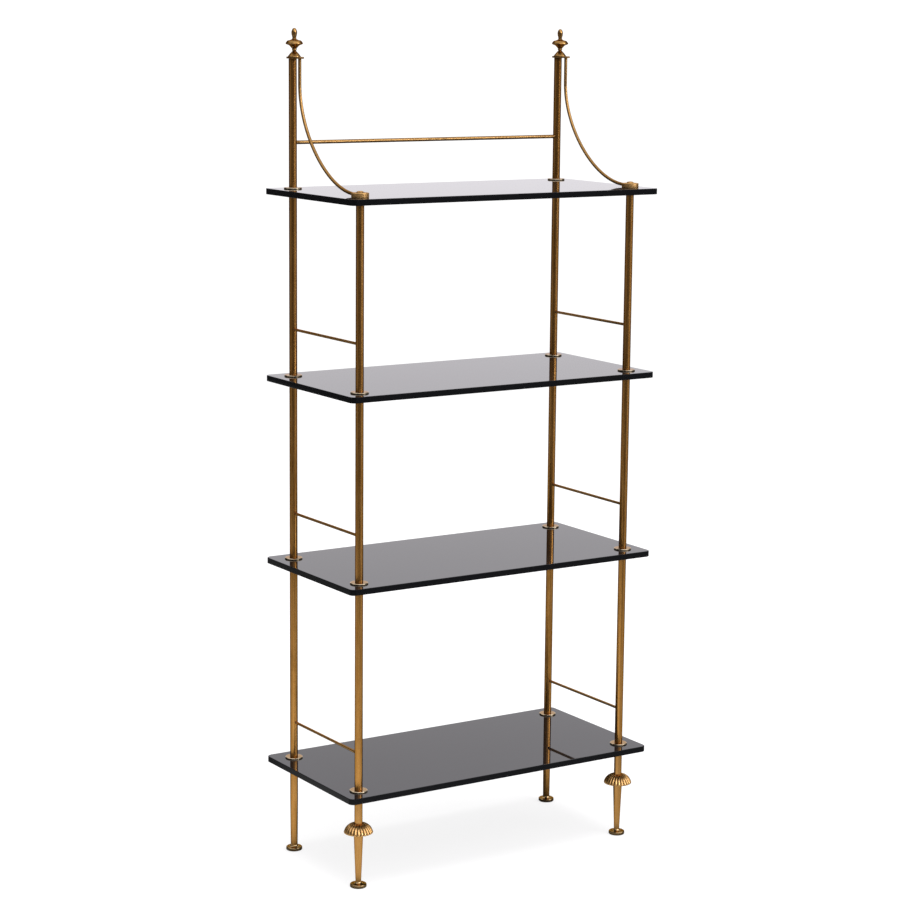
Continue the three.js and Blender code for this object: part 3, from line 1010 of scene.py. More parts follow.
def ribs_tree(name: str) -> bpy.types.NodeTree:
    """Repeats one rib round the Z axis and welds the copies into one skin.

    Args:
        name: the tree's name.

    Returns:
        The tree.
    """
    sketch, takes, gives = new_group(
        name, "GeometryNodeTree",
        {"Geometry": (GEOMETRY, None), "Ribs": (WHOLE, 24), "Weld": (NUMBER, 0.01 * MM),
         "Finish": (MATERIAL, None)},
        {"Geometry": GEOMETRY},
    )
    ribs = takes.outputs["Ribs"]
    spots = sketch.node("GeometryNodePoints", {"Count": ribs})
    number = sketch.node("GeometryNodeInputIndex").outputs["Index"]
    angle = sketch.product(sketch.math("DIVIDE", number, ribs), 2 * math.pi)
    turn = sketch.node("ShaderNodeCombineXYZ", {"Z": angle})
    copies = sketch.node("GeometryNodeInstanceOnPoints", {
        "Points": spots.outputs[0], "Instance": takes.outputs["Geometry"], "Rotation": turn.outputs[0]})
    real = sketch.node("GeometryNodeRealizeInstances", {"Geometry": copies.outputs[0]})
    weld = sketch.node("GeometryNodeMergeByDistance", {
        "Geometry": real.outputs[0], "Distance": takes.outputs["Weld"]})
    smooth = sketch.node("GeometryNodeSetShadeSmooth", {"Geometry": weld.outputs[0]})
    dressed = sketch.node("GeometryNodeSetMaterial", {
        "Geometry": smooth.outputs[0], "Material": takes.outputs["Finish"]})
    sketch.feed(gives, {"Geometry": dressed.outputs[0]})
    return sketch.tree


def swept_rod_tree(name: str) -> bpy.types.NodeTree:
    """A round rod along a path: a straight stretch that goes over into one even sweep.

    The sweep starts at the bend, is pulled towards two points and stops at the end. Both ends of the rod are
    dirty as far as the contact reach, a share of its length.

    Args:
        name: the tree's name.

    Returns:
        The tree.
    """
    sketch, takes, gives = new_group(
        name, "GeometryNodeTree",
        {"Start": (VECTOR, None), "Bend": (VECTOR, None), "Upper pull": (VECTOR, None),
         "Lower pull": (VECTOR, None), "End": (VECTOR, None), "Straight share": (NUMBER, 0.2),
         "Radius": (NUMBER, 3 * MM), "Rings": (WHOLE, 80), "Sides": (WHOLE, ROD_SIDES),
         "Contact reach": (NUMBER, 0.03), "Contact dirt": (NUMBER, 0.9), "Finish": (MATERIAL, None)},
        {"Geometry": GEOMETRY},
    )
    out = takes.outputs
    line = sketch.node("GeometryNodeCurvePrimitiveLine")
    fine = sketch.node("GeometryNodeResampleCurve", {"Curve": line.outputs[0], "Count": out["Rings"]})
    along = sketch.node("GeometryNodeSplineParameter").outputs["Factor"]
    share = out["Straight share"]
    straight = sketch.math("MINIMUM", sketch.math("DIVIDE", along, share), 1.0)
    rest = sketch.math("DIVIDE", sketch.less(along, share), sketch.less(1.0, share))
    sweep = sketch.math("MAXIMUM", rest, 0.0)
    spots = [out["Bend"], out["Upper pull"], out["Lower pull"], out["End"]]
    while len(spots) > 1:
        spots = [sketch.between(sweep, first, second) for first, second in zip(spots, spots[1:])]
    behind = sketch.node("ShaderNodeVectorMath", {
        0: sketch.vector("SUBTRACT", out["Start"], out["Bend"]), "Scale": sketch.less(1.0, straight)},
        operation="SCALE").outputs[0]
    laid = sketch.node("GeometryNodeSetPosition", {
        "Geometry": fine.outputs[0], "Position": sketch.vector("ADD", spots[0], behind)})
    from_end = sketch.math("MINIMUM", along, sketch.less(1.0, along))
    dirt = sketch.step(from_end, 0.0, out["Contact reach"], out["Contact dirt"], 0.0)
    dirty = sketch.node("GeometryNodeStoreNamedAttribute", {
        "Geometry": laid.outputs[0], "Name": GRIME_AND_SHADE, "Value": dirt}, data_type="FLOAT", domain="POINT")
    rim = sketch.node("GeometryNodeCurvePrimitiveCircle", {
        "Resolution": out["Sides"], "Radius": out["Radius"]})
    rod = sketch.node("GeometryNodeCurveToMesh", {
        "Curve": dirty.outputs[0], "Profile Curve": rim.outputs[0], "Fill Caps": True})
    worn = sketch.node("GeometryNodeStoreNamedAttribute", {
        "Geometry": rod.outputs[0], "Name": WEAR, "Value": 0.0}, data_type="FLOAT", domain="POINT")
    real = sketch.node("GeometryNodeRealizeInstances", {"Geometry": worn.outputs[0]})
    dressed = sketch.node("GeometryNodeSetMaterial", {"Geometry": real.outputs[0], "Material": out["Finish"]})
    sketch.feed(gives, {"Geometry": dressed.outputs[0]})
    return sketch.tree


def settle(mesh: bpy.types.Mesh, name: str, finish: Finish, slot: Slot, *nodes: str) -> bpy.types.Object:
    """Puts a finished mesh into the scene as one piece of the etagere.

    Args:
        mesh: its mesh, in its place.
        name: the piece's name.
        finish: its finish.
        slot: the slot that it belongs to; not used.
        nodes: the CAD nodes that it stands for.

    Returns:
        The piece.
    """
    mesh.materials.clear()
    mesh.materials.append(finish.material())
    piece = linked(name, mesh)
    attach(piece, BODY)
    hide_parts(*nodes)
    log.info("%s: %d faces, %s, for %s", name, len(mesh.polygons), finish.name, ", ".join(nodes))
    return piece


# Sub-assemblies


@dataclass(frozen=True)
class PostPlace:
    """One of the four posts, by its side and depth."""

    side: Side
    depth: Depth

    @property
    def name(self) -> str:
        """The post's part of its nodes' names."""
        return f"{self.depth.value}_{self.side.value}"

    def axis(self, height: float) -> Vector:
        """The point of the post's axis at a height.

        Args:
            height: the height over the floor.

        Returns:
            The point.
        """
        low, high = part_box(f"tie_rod_{self.name}")
        middle = (low + high) / 2
        return Vector((middle.x, middle.y, height))


@dataclass
class GlassShelf:
    """A sheet of black glass with rounded corners, ground edges and a hole at each post.

    The edge's shares are rows up its lower half: inset and height as shares of the chamfer, and how much the
    row is ground.
    """

    number: int
    posts: Sequence[PostPlace]
    corner_radius: float = 12 * MM
    corner_steps: int = 14
    chamfer: float = 0.7 * MM
    hole_radius: float = 5 * MM
    hole_sides: int = 24
    finish: GlassFinish = SHELF_GLASS
    edge_shares: Sequence[tuple[float, float, float]] = (
        (3.2, 0.0, 0.0), (1.25, 0.0, 0.0), (0.98, 0.03, 0.2), (0.75, 0.14, 0.6),
        (0.32, 0.56, 0.9), (0.14, 0.78, 1.0), (0.03, 1.04, 1.0), (0.0, 1.4, 1.0),
    )

    def border(self, low: Vector, high: Vector, inset: float, height: float) -> list[Vector]:
        """The sheet's rounded outline.

        Args:
            low: the sheet's lowest corner.
            high: its highest corner.
            inset: how far inside the edge the outline runs.
            height: its height.

        Returns:
            Its points, anticlockwise from above.
        """
        radius = self.corner_radius
        centres = [(high.x - radius, high.y - radius), (low.x + radius, high.y - radius),
                   (low.x + radius, low.y + radius), (high.x - radius, low.y + radius)]
        points = []
        for quarter, (x, y) in enumerate(centres):
            for k in range(self.corner_steps + 1):
                angle = (quarter + k / self.corner_steps) * math.pi / 2
                reach = radius - inset
                points.append(Vector((x + reach * math.cos(angle), y + reach * math.sin(angle), height)))
        return points

    def edge_rows(self, thickness: float) -> list[tuple[float, float, float]]:
        """The edge's rows from below to above.

        Args:
            thickness: the sheet's thickness.

        Returns:
            Each row's inset, its height and how much it is ground.
        """
        half = [(inset * self.chamfer, height * self.chamfer, ground)
                for inset, height, ground in self.edge_shares]
        return half + [(inset, thickness - height, ground) for inset, height, ground in reversed(half)]

    def build(self) -> bpy.types.Object:
        """Makes the shelf.

        Returns:
            The piece.
        """
        node = f"shelf_{self.number}"
        low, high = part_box(node)
        work = Workpiece()
        rows = [work.loop(self.border(low, high, inset, low.z + height), ground)
                for inset, height, ground in self.edge_rows(high.z - low.z)]
        for lower, upper in zip(rows, rows[1:]):
            work.skin(lower, upper)
        holes = []
        for post in self.posts:
            below, above = (work.loop(post.axis(height) + spot
                                      for spot in circle(self.hole_radius, 0.0, self.hole_sides))
                            for height in (low.z, high.z))
            work.skin(above, below)
            holes.append((below, above))
        mesh = work.mesh(node + "_glass", Vector())
        self.fill(mesh, [rows[0], *(below for below, _ in holes)], Vector((0, 0, -1)))
        self.fill(mesh, [rows[-1], *(above for _, above in holes)], Vector((0, 0, 1)))
        return settle(smoothed(mesh), node + "_glass", self.finish, Slot.GLASS, node)

    @staticmethod
    def fill(mesh: bpy.types.Mesh, loops: Sequence[Sequence[int]], facing: Vector) -> None:
        """Fills the flat face between the border and the holes.

        Args:
            mesh: the shelf's mesh.
            loops: the point numbers of the border and of each hole.
            facing: which way the face looks.
        """
        work = bmesh.new()
        work.from_mesh(mesh)
        work.verts.ensure_lookup_table()
        edges = []
        for loop in loops:
            for a, b in zip(loop, [*loop[1:], loop[0]]):
                edges.append(work.edges.get((work.verts[a], work.verts[b])))
        made = bmesh.ops.triangle_fill(work, edges=edges, use_beauty=True, use_dissolve=False)
        for face in (f for f in made["geom"] if isinstance(f, bmesh.types.BMFace)):
            face.normal_update()
            if face.normal.dot(facing) < 0:
                face.normal_flip()
        work.to_mesh(mesh)
        work.free()


@dataclass
class Tube:
    """A brass tube, standing in its collar, which hides the sunk part of its foot."""

    node: str
    post: PostPlace
    diameter: float = 17 * MM
    wall: float = 2 * MM
    outline: Outline = Outline(fillet=0.35 * MM)
    finish: BrassFinish = POST_BRASS
    sunk: float = 1.6 * MM
    darkening_rings: Sequence[float] = (1.6 * MM, 3 * MM, 6 * MM, 12 * MM, 26 * MM)
    darkening_share: float = 0.95
    darkening_start: float = 1 * MM
    darkening_reach: float = 4.5 * MM
    inside_share: float = 0.98

    def build(self) -> bpy.types.Object:
        """Makes the tube.

        Returns:
            The piece.
        """
        low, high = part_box(self.node)
        outer = self.diameter / 2
        bore = outer - self.wall
        top = high.z - low.z
        heights = [*self.darkening_rings, *(top - step for step in reversed(self.darkening_rings))]
        corners = [(bore, 0.0), (outer, 0.0), *((outer, h) for h in heights), (outer, top), (bore, top)]
        rings = [self.toned(ring, top) for ring in self.outline.stations(corners, closed=True)]
        mesh = turned(self.node, rings, self.post.axis(low.z), closed=True)
        return settle(mesh, "tube_" + self.node.removeprefix("post_"), self.finish, Slot.BRASS, self.node)

    def toned(self, ring: Station, top: float) -> Station:
        """A ring darkened towards where the tube meets its collar and the glass, and fully dark inside its
        bore with painted shade.

        Args:
            ring: the ring as turned.
            top: the tube's length.

        Returns:
            The ring, darkened, and without wear.
        """
        # Inside the bore the dark is painted shade.
        if ring.radius < self.inside_share * self.diameter / 2:
            return replace(ring, wear=0.0, grime_and_shade=1.0)
        from_end = min(ring.height - self.sunk, top - ring.height)
        dirt = self.darkening_share * gathered(from_end - self.darkening_start, self.darkening_reach)
        return replace(ring, wear=0.0, grime_and_shade=dirt)


@dataclass
class Collar:
    """The disc on the glass that holds the tube's foot in a recess."""

    node: str
    post: PostPlace
    radius: float = 19 * MM
    thickness: float = 3.1 * MM
    chamfer: float = 1 * MM
    floor: float = 1.6 * MM
    recess: float = 8.8 * MM
    hole: float = 3.3 * MM
    # The rounded rim's wear paints the highlight along it.
    outline: Outline = Outline(fillet=0.9 * MM, spread=0.8 * MM)
    finish: BrassFinish = COLLAR_BRASS
    # The darkening along the glass is painted shade.
    darkening_strength: float = 2.0
    darkening_reach: float = 2 * MM
    darkening_squareness: int = 4

    def build(self) -> bpy.types.Object:
        """Makes the collar.

        Returns:
            The piece.
        """
        low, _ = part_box(self.node)
        corners = [(self.hole, 0.0), (self.radius, 0.0), (self.radius, self.thickness - self.chamfer),
                   (self.radius - self.chamfer, self.thickness), (self.recess, self.thickness),
                   (self.recess, self.floor), (self.hole, self.floor)]
        rings = [self.toned(ring) for ring in self.outline.stations(corners, closed=True)]
        mesh = turned(self.node, rings, self.post.axis(low.z), closed=True)
        return settle(mesh, "disc_" + self.node, self.finish, Slot.BRASS, self.node)

    def toned(self, ring: Station) -> Station:
        """A ring darkened along the glass with painted shade."""
        dirt = self.darkening_strength * gathered(ring.height, self.darkening_reach, self.darkening_squareness)
        return ring.darkened(min(1.0, dirt))


@dataclass
class Leg:
    """A turned leg: the front ones taper up to a shoulder under the skirt, the rear ones are plain."""

    post: PostPlace
    height: float = 196.3 * MM
    seat: float = 8.6 * MM
    post_radius: float = 8.5 * MM
    front_foot_radius: float = 5.8 * MM
    shoulder_radius: float = 9.9 * MM
    shoulder: float = 118 * MM
    shoulder_top: float = 135 * MM
    rear_foot_radius: float = 7.5 * MM
    rear_taper: float = 120 * MM
    outline: Outline = Outline(fillet=0.5 * MM, spread=2 * MM)
    finish: BrassFinish = LEG_BRASS
    rear_finish: BrassFinish = REAR_LEG_BRASS
    darkening_at_glass: float = 0.8
    darkening_at_foot: float = 0.25
    darkening_reach: float = 5 * MM

    def corners(self) -> list[Point]:
        """The leg's outline.

        Returns:
            Its corner points.
        """
        if self.post.depth is Depth.REAR:
            return [(0.0, self.seat), (self.rear_foot_radius, self.seat), (self.post_radius, self.rear_taper),
                    (self.post_radius, self.height), (0.0, self.height)]
        return [(0.0, self.seat), (self.front_foot_radius, self.seat), (self.shoulder_radius, self.shoulder),
                (self.shoulder_radius, self.shoulder_top), (self.post_radius, self.shoulder_top),
                (self.post_radius, self.height), (0.0, self.height)]

    def build(self) -> bpy.types.Object:
        """Makes the leg.

        Returns:
            The piece.
        """
        node = f"leg_{self.post.name}"
        rings = [self.toned(ring) for ring in self.outline.stations(self.corners())]
        finish = self.rear_finish if self.post.depth is Depth.REAR else self.finish
        return settle(turned(node, rings, self.post.axis(0.0)), "turned_" + node, finish, Slot.BRASS, node)

    def toned(self, ring: Station) -> Station:
        """A ring darkened towards the foot and under the glass.

        Args:
            ring: the ring as turned.

        Returns:
            The ring, darkened.
        """
        from_end = min(ring.height - self.seat, self.height - ring.height)
        upper = ring.height > self.height / 2
        share = self.darkening_at_glass if upper else self.darkening_at_foot
        return ring.darkened(share * gathered(from_end, self.darkening_reach))


@dataclass
class Foot:
    """A flat disc with a low cone, a small cove round the leg, and the stud that screws into the leg."""

    post: PostPlace
    radius: float = 17.5 * MM
    edge_height: float = 7.4 * MM
    edge_chamfer: float = 1.2 * MM
    seat_height: float = 8.6 * MM
    stud_radius: float = 2.5 * MM
    stud_length: float = 12 * MM
    leg_gap: float = 0.1 * MM
    cove_reach: float = 4 * MM
    cove_height: float = 3.6 * MM
    cove_drop: float = 0.5 * MM
    cove_steps: int = 8
    outline: Outline = Outline(fillet=1.1 * MM)
    finish: BrassFinish = FOOT_BRASS
    seam_depth: float = 0.45 * MM
    seam_highlight: float = 0.9
    rim_wear_share: float = 0.5
    darkening_strength: float = 1.5
    darkening_reach: float = 4.6 * MM

    def build(self) -> bpy.types.Object:
        """Makes the foot.

        Returns:
            The piece.
        """
        c = self.edge_chamfer
        leg = Leg.front_foot_radius if self.post.depth is Depth.FRONT else Leg.rear_foot_radius
        inside = leg + self.leg_gap
        base = self.seat_height - self.cove_drop
        turns = (k / self.cove_steps * math.pi / 2 for k in range(self.cove_steps + 1))
        cove = [(inside + self.cove_reach * (1 - math.sin(turn)),
                 base + self.cove_height * (1 - math.cos(turn))) for turn in turns]
        tip = self.seat_height + self.stud_length
        corners = [(0.0, 0.0), (self.radius - c, 0.0), (self.radius, c), (self.radius, self.edge_height - c),
                   (self.radius - c, self.edge_height), *cove, (inside, self.seat_height),
                   (self.stud_radius, self.seat_height), (self.stud_radius, tip), (0.0, tip)]
        node = f"foot_{self.post.name}"
        rings = [self.toned(ring) for ring in self.outline.stations(corners)]
        return settle(turned(node, rings, self.post.axis(0.0)), "disc_" + node, self.finish, Slot.BRASS, node)

    def toned(self, ring: Station) -> Station:
        """A ring darkened along the floor with painted shade, and with a painted highlight on the seam round
        the leg.

        Args:
            ring: the ring as turned.

        Returns:
            The ring with its wear and dirt.
        """
        # The seam's brightness is a painted highlight; the darkening towards the floor is painted shade.
        if ring.height > self.seat_height - self.seam_depth:
            return replace(ring, wear=max(ring.wear, self.seam_highlight), grime_and_shade=0.0)
        dirt = min(1.0, self.darkening_strength * gathered(ring.height, self.darkening_reach, squareness=2))
        return replace(ring.darkened(dirt), wear=self.rim_wear_share * ring.wear)


@dataclass
class Skirt:
    """The fluted skirt on a front leg: convex ribs that die out at the neck, over a hollow underside.

    The lip's shares are its rows under the rim: how far out in the wall, and how far down. A fall says how
    fast the brightening fades away from the crest, or the darkening from the neck.
    """

    post: PostPlace
    ribs: int = 24
    radius: float = 31 * MM
    height: float = 19 * MM
    crown_radius: float = 9.4 * MM
    bore: float = 8.8 * MM
    hub: float = 10.2 * MM
    wall: float = 2 * MM
    crown_thickness: float = 4 * MM
    rim_lip: float = 1.4 * MM
    lip_shares: Sequence[Point] = ((0.35, 1.0), (0.7, 0.72), (0.93, 0.3))
    lip_wear: float = 0.7
    flute_depth: float = 2.2 * MM
    crown_flute: float = 1.6 * MM
    crown_rise: float = 3.0
    rim_angle: float = 0.17 * math.pi / 2
    columns: int = 14
    crown_rows: int = 16
    under_rows: int = 7
    finish: BrassFinish = SKIRT_BRASS
    # Crests are brightened with wear and painted highlight, valleys darkened with patina and painted shade,
    # the neck and underside with painted shade.
    under_shade: float = 0.8
    crest_wear_and_highlight: float = 0.95
    crest_fall: float = 2.2
    neck_wear_and_highlight: float = 0.6
    valley_dirt_and_shade: float = 2.1
    valley_start: float = 0.38
    neck_shade: float = 0.9
    neck_fall: float = 1.6
    neck_crest_shade: float = 0.12

    def rows(self) -> list[tuple[float, float, float, float]]:
        """The section through a rib's crest, all round.

        Returns:
            Rows of radius, height, share of the flutes' depth, and how much they lie outside, from 0 to 1.
        """
        ceiling = self.height - self.crown_thickness
        inner = self.radius - self.wall
        rows = [(self.bore, ceiling, 0.0, 0.0)]
        for k in range(self.under_rows, -1, -1):
            angle = k / self.under_rows * math.pi / 2
            rows.append((self.hub + (inner - self.hub) * math.cos(angle),
                         (ceiling + self.rim_lip) * math.sin(angle) - self.rim_lip, math.cos(angle), 0.0))
        for out, down in self.lip_shares:
            rows.append((inner + self.wall * out, -self.rim_lip * down, 1.0, self.lip_wear))
        low = math.sin(self.rim_angle)
        for k in range(self.crown_rows + 1):
            angle = self.rim_angle + k / self.crown_rows * (math.pi / 2 - self.rim_angle)
            out = math.cos(angle) / math.cos(self.rim_angle)
            rows.append((self.crown_radius + (self.radius - self.crown_radius) * out,
                         self.height * (math.sin(angle) - low) / (1 - low), math.sqrt(max(out, 0.0)), 1.0))
        rows.append((self.bore, self.height, 0.0, 0.0))
        return rows

    def stain(self, share: float, valley: float, outside: float) -> tuple[float, float]:
        """How a rib is brightened and darkened: bright on its crest with wear and painted highlight, dark in
        the valleys with patina and painted shade, and round the neck and under the skirt with painted shade.

        Args:
            share: share of the flutes' depth in the row.
            valley: 0 on the rib's crest, 1 in the valley beside it.
            outside: how much the row lies outside.

        Returns:
            How bright and how dark the point is made.
        """
        # The hollow underside is darkened with painted shade.
        if not outside:
            return 0.0, self.under_shade
        on_crest = max(0.0, 1 - self.crest_fall * valley)
        worn = self.crest_wear_and_highlight * outside * min(1.0, self.neck_wear_and_highlight + share) * on_crest
        at_neck = max(0.0, 1 - self.neck_fall * share) * (self.neck_crest_shade + valley)
        in_valley = max(0.0, valley - self.valley_start)
        return worn, min(1.0, self.valley_dirt_and_shade * in_valley + self.neck_shade * at_neck)

    def rib(self) -> bpy.types.Mesh:
        """One rib, from valley to valley.

        Returns:
            Its mesh, closed but for its two sides.
        """
        work = Workpiece()
        half = math.pi / self.ribs
        rows = []
        for radius, height, share, outside in self.rows():
            over_crown = min(1.0, self.crown_rise * share) * (1 - share * share) if outside == 1 else 0.0
            row = []
            for k in range(self.columns + 1):
                angle = -half + 2 * half * k / self.columns
                valley = 1 - abs(math.cos(self.ribs * angle / 2))
                reach = radius - self.flute_depth * share * valley
                spot = Vector((reach * math.cos(angle), reach * math.sin(angle),
                               height - self.crown_flute * over_crown * valley))
                row += work.loop([spot], *self.stain(share, valley, outside))
            rows.append(row)
        for lower, upper in zip(rows, [*rows[1:], rows[0]]):
            for k in range(self.columns):
                work.faces.append((lower[k], lower[k + 1], upper[k + 1], upper[k]))
        return work.mesh("rib", Vector())

    def build(self) -> bpy.types.Object:
        """Makes the skirt.

        Returns:
            The piece.
        """
        node = f"skirt_{self.post.side.value}"
        mesh = grown(node, shared("Ribs round an axis", ribs_tree),
                     {"Ribs": self.ribs, "Finish": self.finish.material()}, self.rib())
        _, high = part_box(node)
        mesh.transform(Matrix.Translation(self.post.axis(high.z - self.height)))
        return settle(mesh, "fluted_" + node, self.finish, Slot.BRASS, node)


@dataclass
class Cap:
    """The cap nut over a front post: a drum with a low button, outlined in shares of the button's size."""

    post: PostPlace
    radius: float = 18 * MM
    wall_height: float = 9.8 * MM
    edge_chamfer: float = 0.8 * MM
    button_radius: float = 7.5 * MM
    button_height: float = 3.4 * MM
    button_shares: Sequence[Point] = (
        (1.25, 0.0), (1.06, 0.12), (0.97, 0.4), (0.86, 0.7), (0.66, 0.88), (0.36, 0.98), (0.0, 1.0),
    )
    outline: Outline = Outline(fillet=0.7 * MM, spread=1 * MM)
    finish: BrassFinish = CAP_BRASS
    # The darkening along the glass is a painted shadow line.
    darkening_share: float = 0.9
    darkening_reach: float = 3.2 * MM

    def build(self) -> bpy.types.Object:
        """Makes the cap.

        Returns:
            The piece.
        """
        node = f"cap_{self.post.side.value}"
        low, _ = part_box(node)
        button = flowing([(self.button_radius * r, self.wall_height + self.button_height * h)
                          for r, h in self.button_shares])
        corners = [(0.0, 0.0), (self.radius, 0.0), (self.radius, self.wall_height - self.edge_chamfer),
                   (self.radius - self.edge_chamfer, self.wall_height), *button]
        rings = [self.toned(ring) for ring in self.outline.stations(corners)]
        mesh = turned(node, rings, self.post.axis(low.z))
        return settle(mesh, "drum_" + node, self.finish, Slot.BRASS, node)

    def toned(self, ring: Station) -> Station:
        """A ring darkened along the glass with a painted shadow line."""
        return ring.darkened(self.darkening_share * gathered(ring.height, self.darkening_reach, squareness=2))


@dataclass
class Finial:
    """A turned bell, a thick disc and a bud, over the bracket plate, in shares of its radius and height."""

    post: PostPlace
    radius: float = 18 * MM
    height: float = 59.2 * MM
    forward: float = 7 * MM
    outline: Outline = Outline(fillet=0.5 * MM)
    finish: BrassFinish = FINIAL_BRASS
    bell_shares: Sequence[Point] = (
        (0.755, 0.0), (0.74, 0.022), (0.65, 0.055), (0.52, 0.105), (0.375, 0.152), (0.26, 0.188),
        (0.212, 0.207), (0.28, 0.245), (0.27, 0.285),
    )
    disc_shares: Sequence[Point] = (
        (0.4, 0.33), (0.52, 0.372), (0.66, 0.403), (0.88, 0.427), (0.985, 0.447), (1.0, 0.468), (0.96, 0.496),
        (0.87, 0.535), (0.76, 0.562), (0.5, 0.582),
    )
    bud_shares: Sequence[Point] = (
        (0.32, 0.606), (0.23, 0.64), (0.25, 0.7), (0.3, 0.755), (0.33, 0.82), (0.31, 0.89), (0.19, 0.97),
        (0.0, 1.0),
    )

    def build(self) -> bpy.types.Object:
        """Makes the finial.

        Returns:
            The piece.
        """
        node = f"finial_{self.post.side.value}"
        _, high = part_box(node)
        shares = (*self.bell_shares, *self.disc_shares, *self.bud_shares)
        line = flowing([(self.radius * r, self.height * h) for r, h in shares])
        place = self.post.axis(high.z - self.height) + Vector((0, -self.forward, 0))
        mesh = turned(node, self.outline.stations([(0.0, 0.0), *line]), place)
        return settle(mesh, "turned_" + node, self.finish, Slot.BRASS, node)


@dataclass
class Bracket:
    """The plate on a rear post, with its boss and the rod that sweeps down to the cap.

    The edge's shares are rows up the plate's lower half: inset and height as shares of the edge, and how much
    the row is darkened.
    """

    post: PostPlace
    thickness: float = 3.7 * MM
    post_end_radius: float = 13.2 * MM
    rod_end_radius: float = 9 * MM
    boss_radius: float = 6.2 * MM
    boss_length: float = 14 * MM
    rod_radius: float = 3.5 * MM
    rod_rings: int = 120
    forward: float = 30 * MM
    straight_drop: float = 52 * MM
    straight_share: float = 0.14
    contact_share: float = 0.02
    upper_pull: float = 105 * MM
    lower_pull: float = 110 * MM
    end_forward: float = 259.7 * MM
    end_down: float = 264.8 * MM
    spigot_radius: float = 2 * MM
    spigot_length: float = 6 * MM
    spigot_root: float = 1 * MM
    edge: float = 0.5 * MM
    edge_shares: Sequence[tuple[float, float, float]] = (
        (2.4, 0.0, 0.3), (1.0, 0.0, 0.5), (0.35, 0.12, 0.7), (0.0, 1.0, 0.9), (0.0, 2.4, 0.9),
    )
    arc_steps: int = 30
    outline: Outline = Outline()
    finish: BrassFinish = BRACKET_BRASS

    def border(self, inset: float, height: float) -> list[Vector]:
        """The plate's outline: two round ends and the straights between them.

        Args:
            inset: how far inside the edge it runs.
            height: its height over the plate's underside.

        Returns:
            Its points, anticlockwise from above.
        """
        lean = math.asin((self.post_end_radius - self.rod_end_radius) / self.forward)
        points = []
        for centre, radius, start, end in (
                (0.0, self.post_end_radius, -lean, math.pi + lean),
                (-self.forward, self.rod_end_radius, math.pi + lean, 2 * math.pi - lean)):
            for k in range(self.arc_steps + 1):
                angle = start + (end - start) * k / self.arc_steps
                reach = radius - inset
                points.append(Vector((reach * math.cos(angle), centre + reach * math.sin(angle), height)))
        return points

    def plate(self, place: Vector) -> bpy.types.Mesh:
        """The plate.

        Args:
            place: the post's axis at the plate's underside.

        Returns:
            Its mesh.
        """
        half = [(inset * self.edge, height * self.edge, grime_and_shade) for inset, height, grime_and_shade in self.edge_shares]
        rows = half + [(inset, self.thickness - height, grime_and_shade) for inset, height, grime_and_shade in reversed(half)]
        work = Workpiece()
        loops = [work.loop(self.border(inset, height), 0.0, grime_and_shade) for inset, height, grime_and_shade in rows]
        for lower, upper in zip(loops, loops[1:]):
            work.skin(lower, upper)
        work.faces.append(tuple(reversed(loops[0])))
        work.faces.append(tuple(loops[-1]))
        return work.mesh("plate", place)

    def peg(self, name: str, radius: float, foot: float, top: float, place: Vector,
            sides: int = ROUND_SIDES) -> bpy.types.Mesh:
        """A plain turned peg.

        Args:
            name: its name.
            radius: its radius.
            foot: the height of its lower end.
            top: the height of its upper end.
            place: where the zero of its heights goes.
            sides: facets round it.

        Returns:
            Its mesh.
        """
        corners = [(0.0, foot), (radius, foot), (radius, top), (0.0, top)]
        return turned(name, self.outline.stations(corners), place, sides=sides)

    def build(self) -> bpy.types.Object:
        """Makes the bracket.

        Returns:
            The piece.
        """
        node = f"bracket_{self.post.side.value}"
        _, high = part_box(node)
        place = self.post.axis(high.z - self.thickness)

        def spot(forward: float, down: float) -> Vector:
            """A point at a distance in front of the post's axis and under the plate."""
            return place + Vector((0, -forward, -down))

        rod = grown("bracket_rod", shared("Swept rod", swept_rod_tree), {
            "Start": spot(self.forward, -self.thickness / 2),
            "Bend": spot(self.forward, self.straight_drop),
            "Upper pull": spot(self.forward, self.straight_drop + self.upper_pull),
            "Lower pull": spot(self.end_forward - self.lower_pull, self.end_down),
            "End": spot(self.end_forward, self.end_down),
            "Straight share": self.straight_share, "Radius": self.rod_radius, "Rings": self.rod_rings,
            "Contact reach": self.contact_share, "Finish": self.finish.material(),
        })
        boss = self.peg("boss", self.boss_radius, -self.boss_length, self.thickness / 2, place)
        spigot = self.peg("spigot", self.spigot_radius, -self.spigot_root, self.spigot_length, Vector(),
                          ROD_SIDES)
        end = Matrix.Translation(spot(self.end_forward, self.end_down))
        spigot.transform(end @ Matrix.Rotation(math.pi / 2, 4, "X"))
        mesh = joined(node, [self.plate(place), rod, boss, spigot])
        return settle(mesh, "swept_" + node, self.finish, Slot.BRASS, node)


@dataclass
class Rail:
    """A straight brass rod between two posts."""

    node: str
    axis: int
    diameter: float = 6 * MM
    rings: int = 60
    contact_reach: float = 16 * MM
    finish: BrassFinish = RAIL_BRASS

    def build(self) -> bpy.types.Object:
        """Makes the rod, as a sweep whose points all lie on one line.

        Returns:
            The piece.
        """
        low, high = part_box(self.node)
        start = (low + high) / 2
        end = start.copy()
        start[self.axis] = low[self.axis]
        end[self.axis] = high[self.axis]
        quarter = 0.25
        mesh = grown(self.node, shared("Swept rod", swept_rod_tree), {
            "Start": start, "Bend": start.lerp(end, quarter), "Upper pull": start.lerp(end, 2 * quarter),
            "Lower pull": start.lerp(end, 3 * quarter), "End": end, "Straight share": quarter,
            "Radius": self.diameter / 2, "Rings": self.rings,
            "Contact reach": self.contact_reach / (end - start).length, "Finish": self.finish.material(),
        })
        return settle(mesh, "rod_" + self.node, self.finish, Slot.BRASS, self.node)


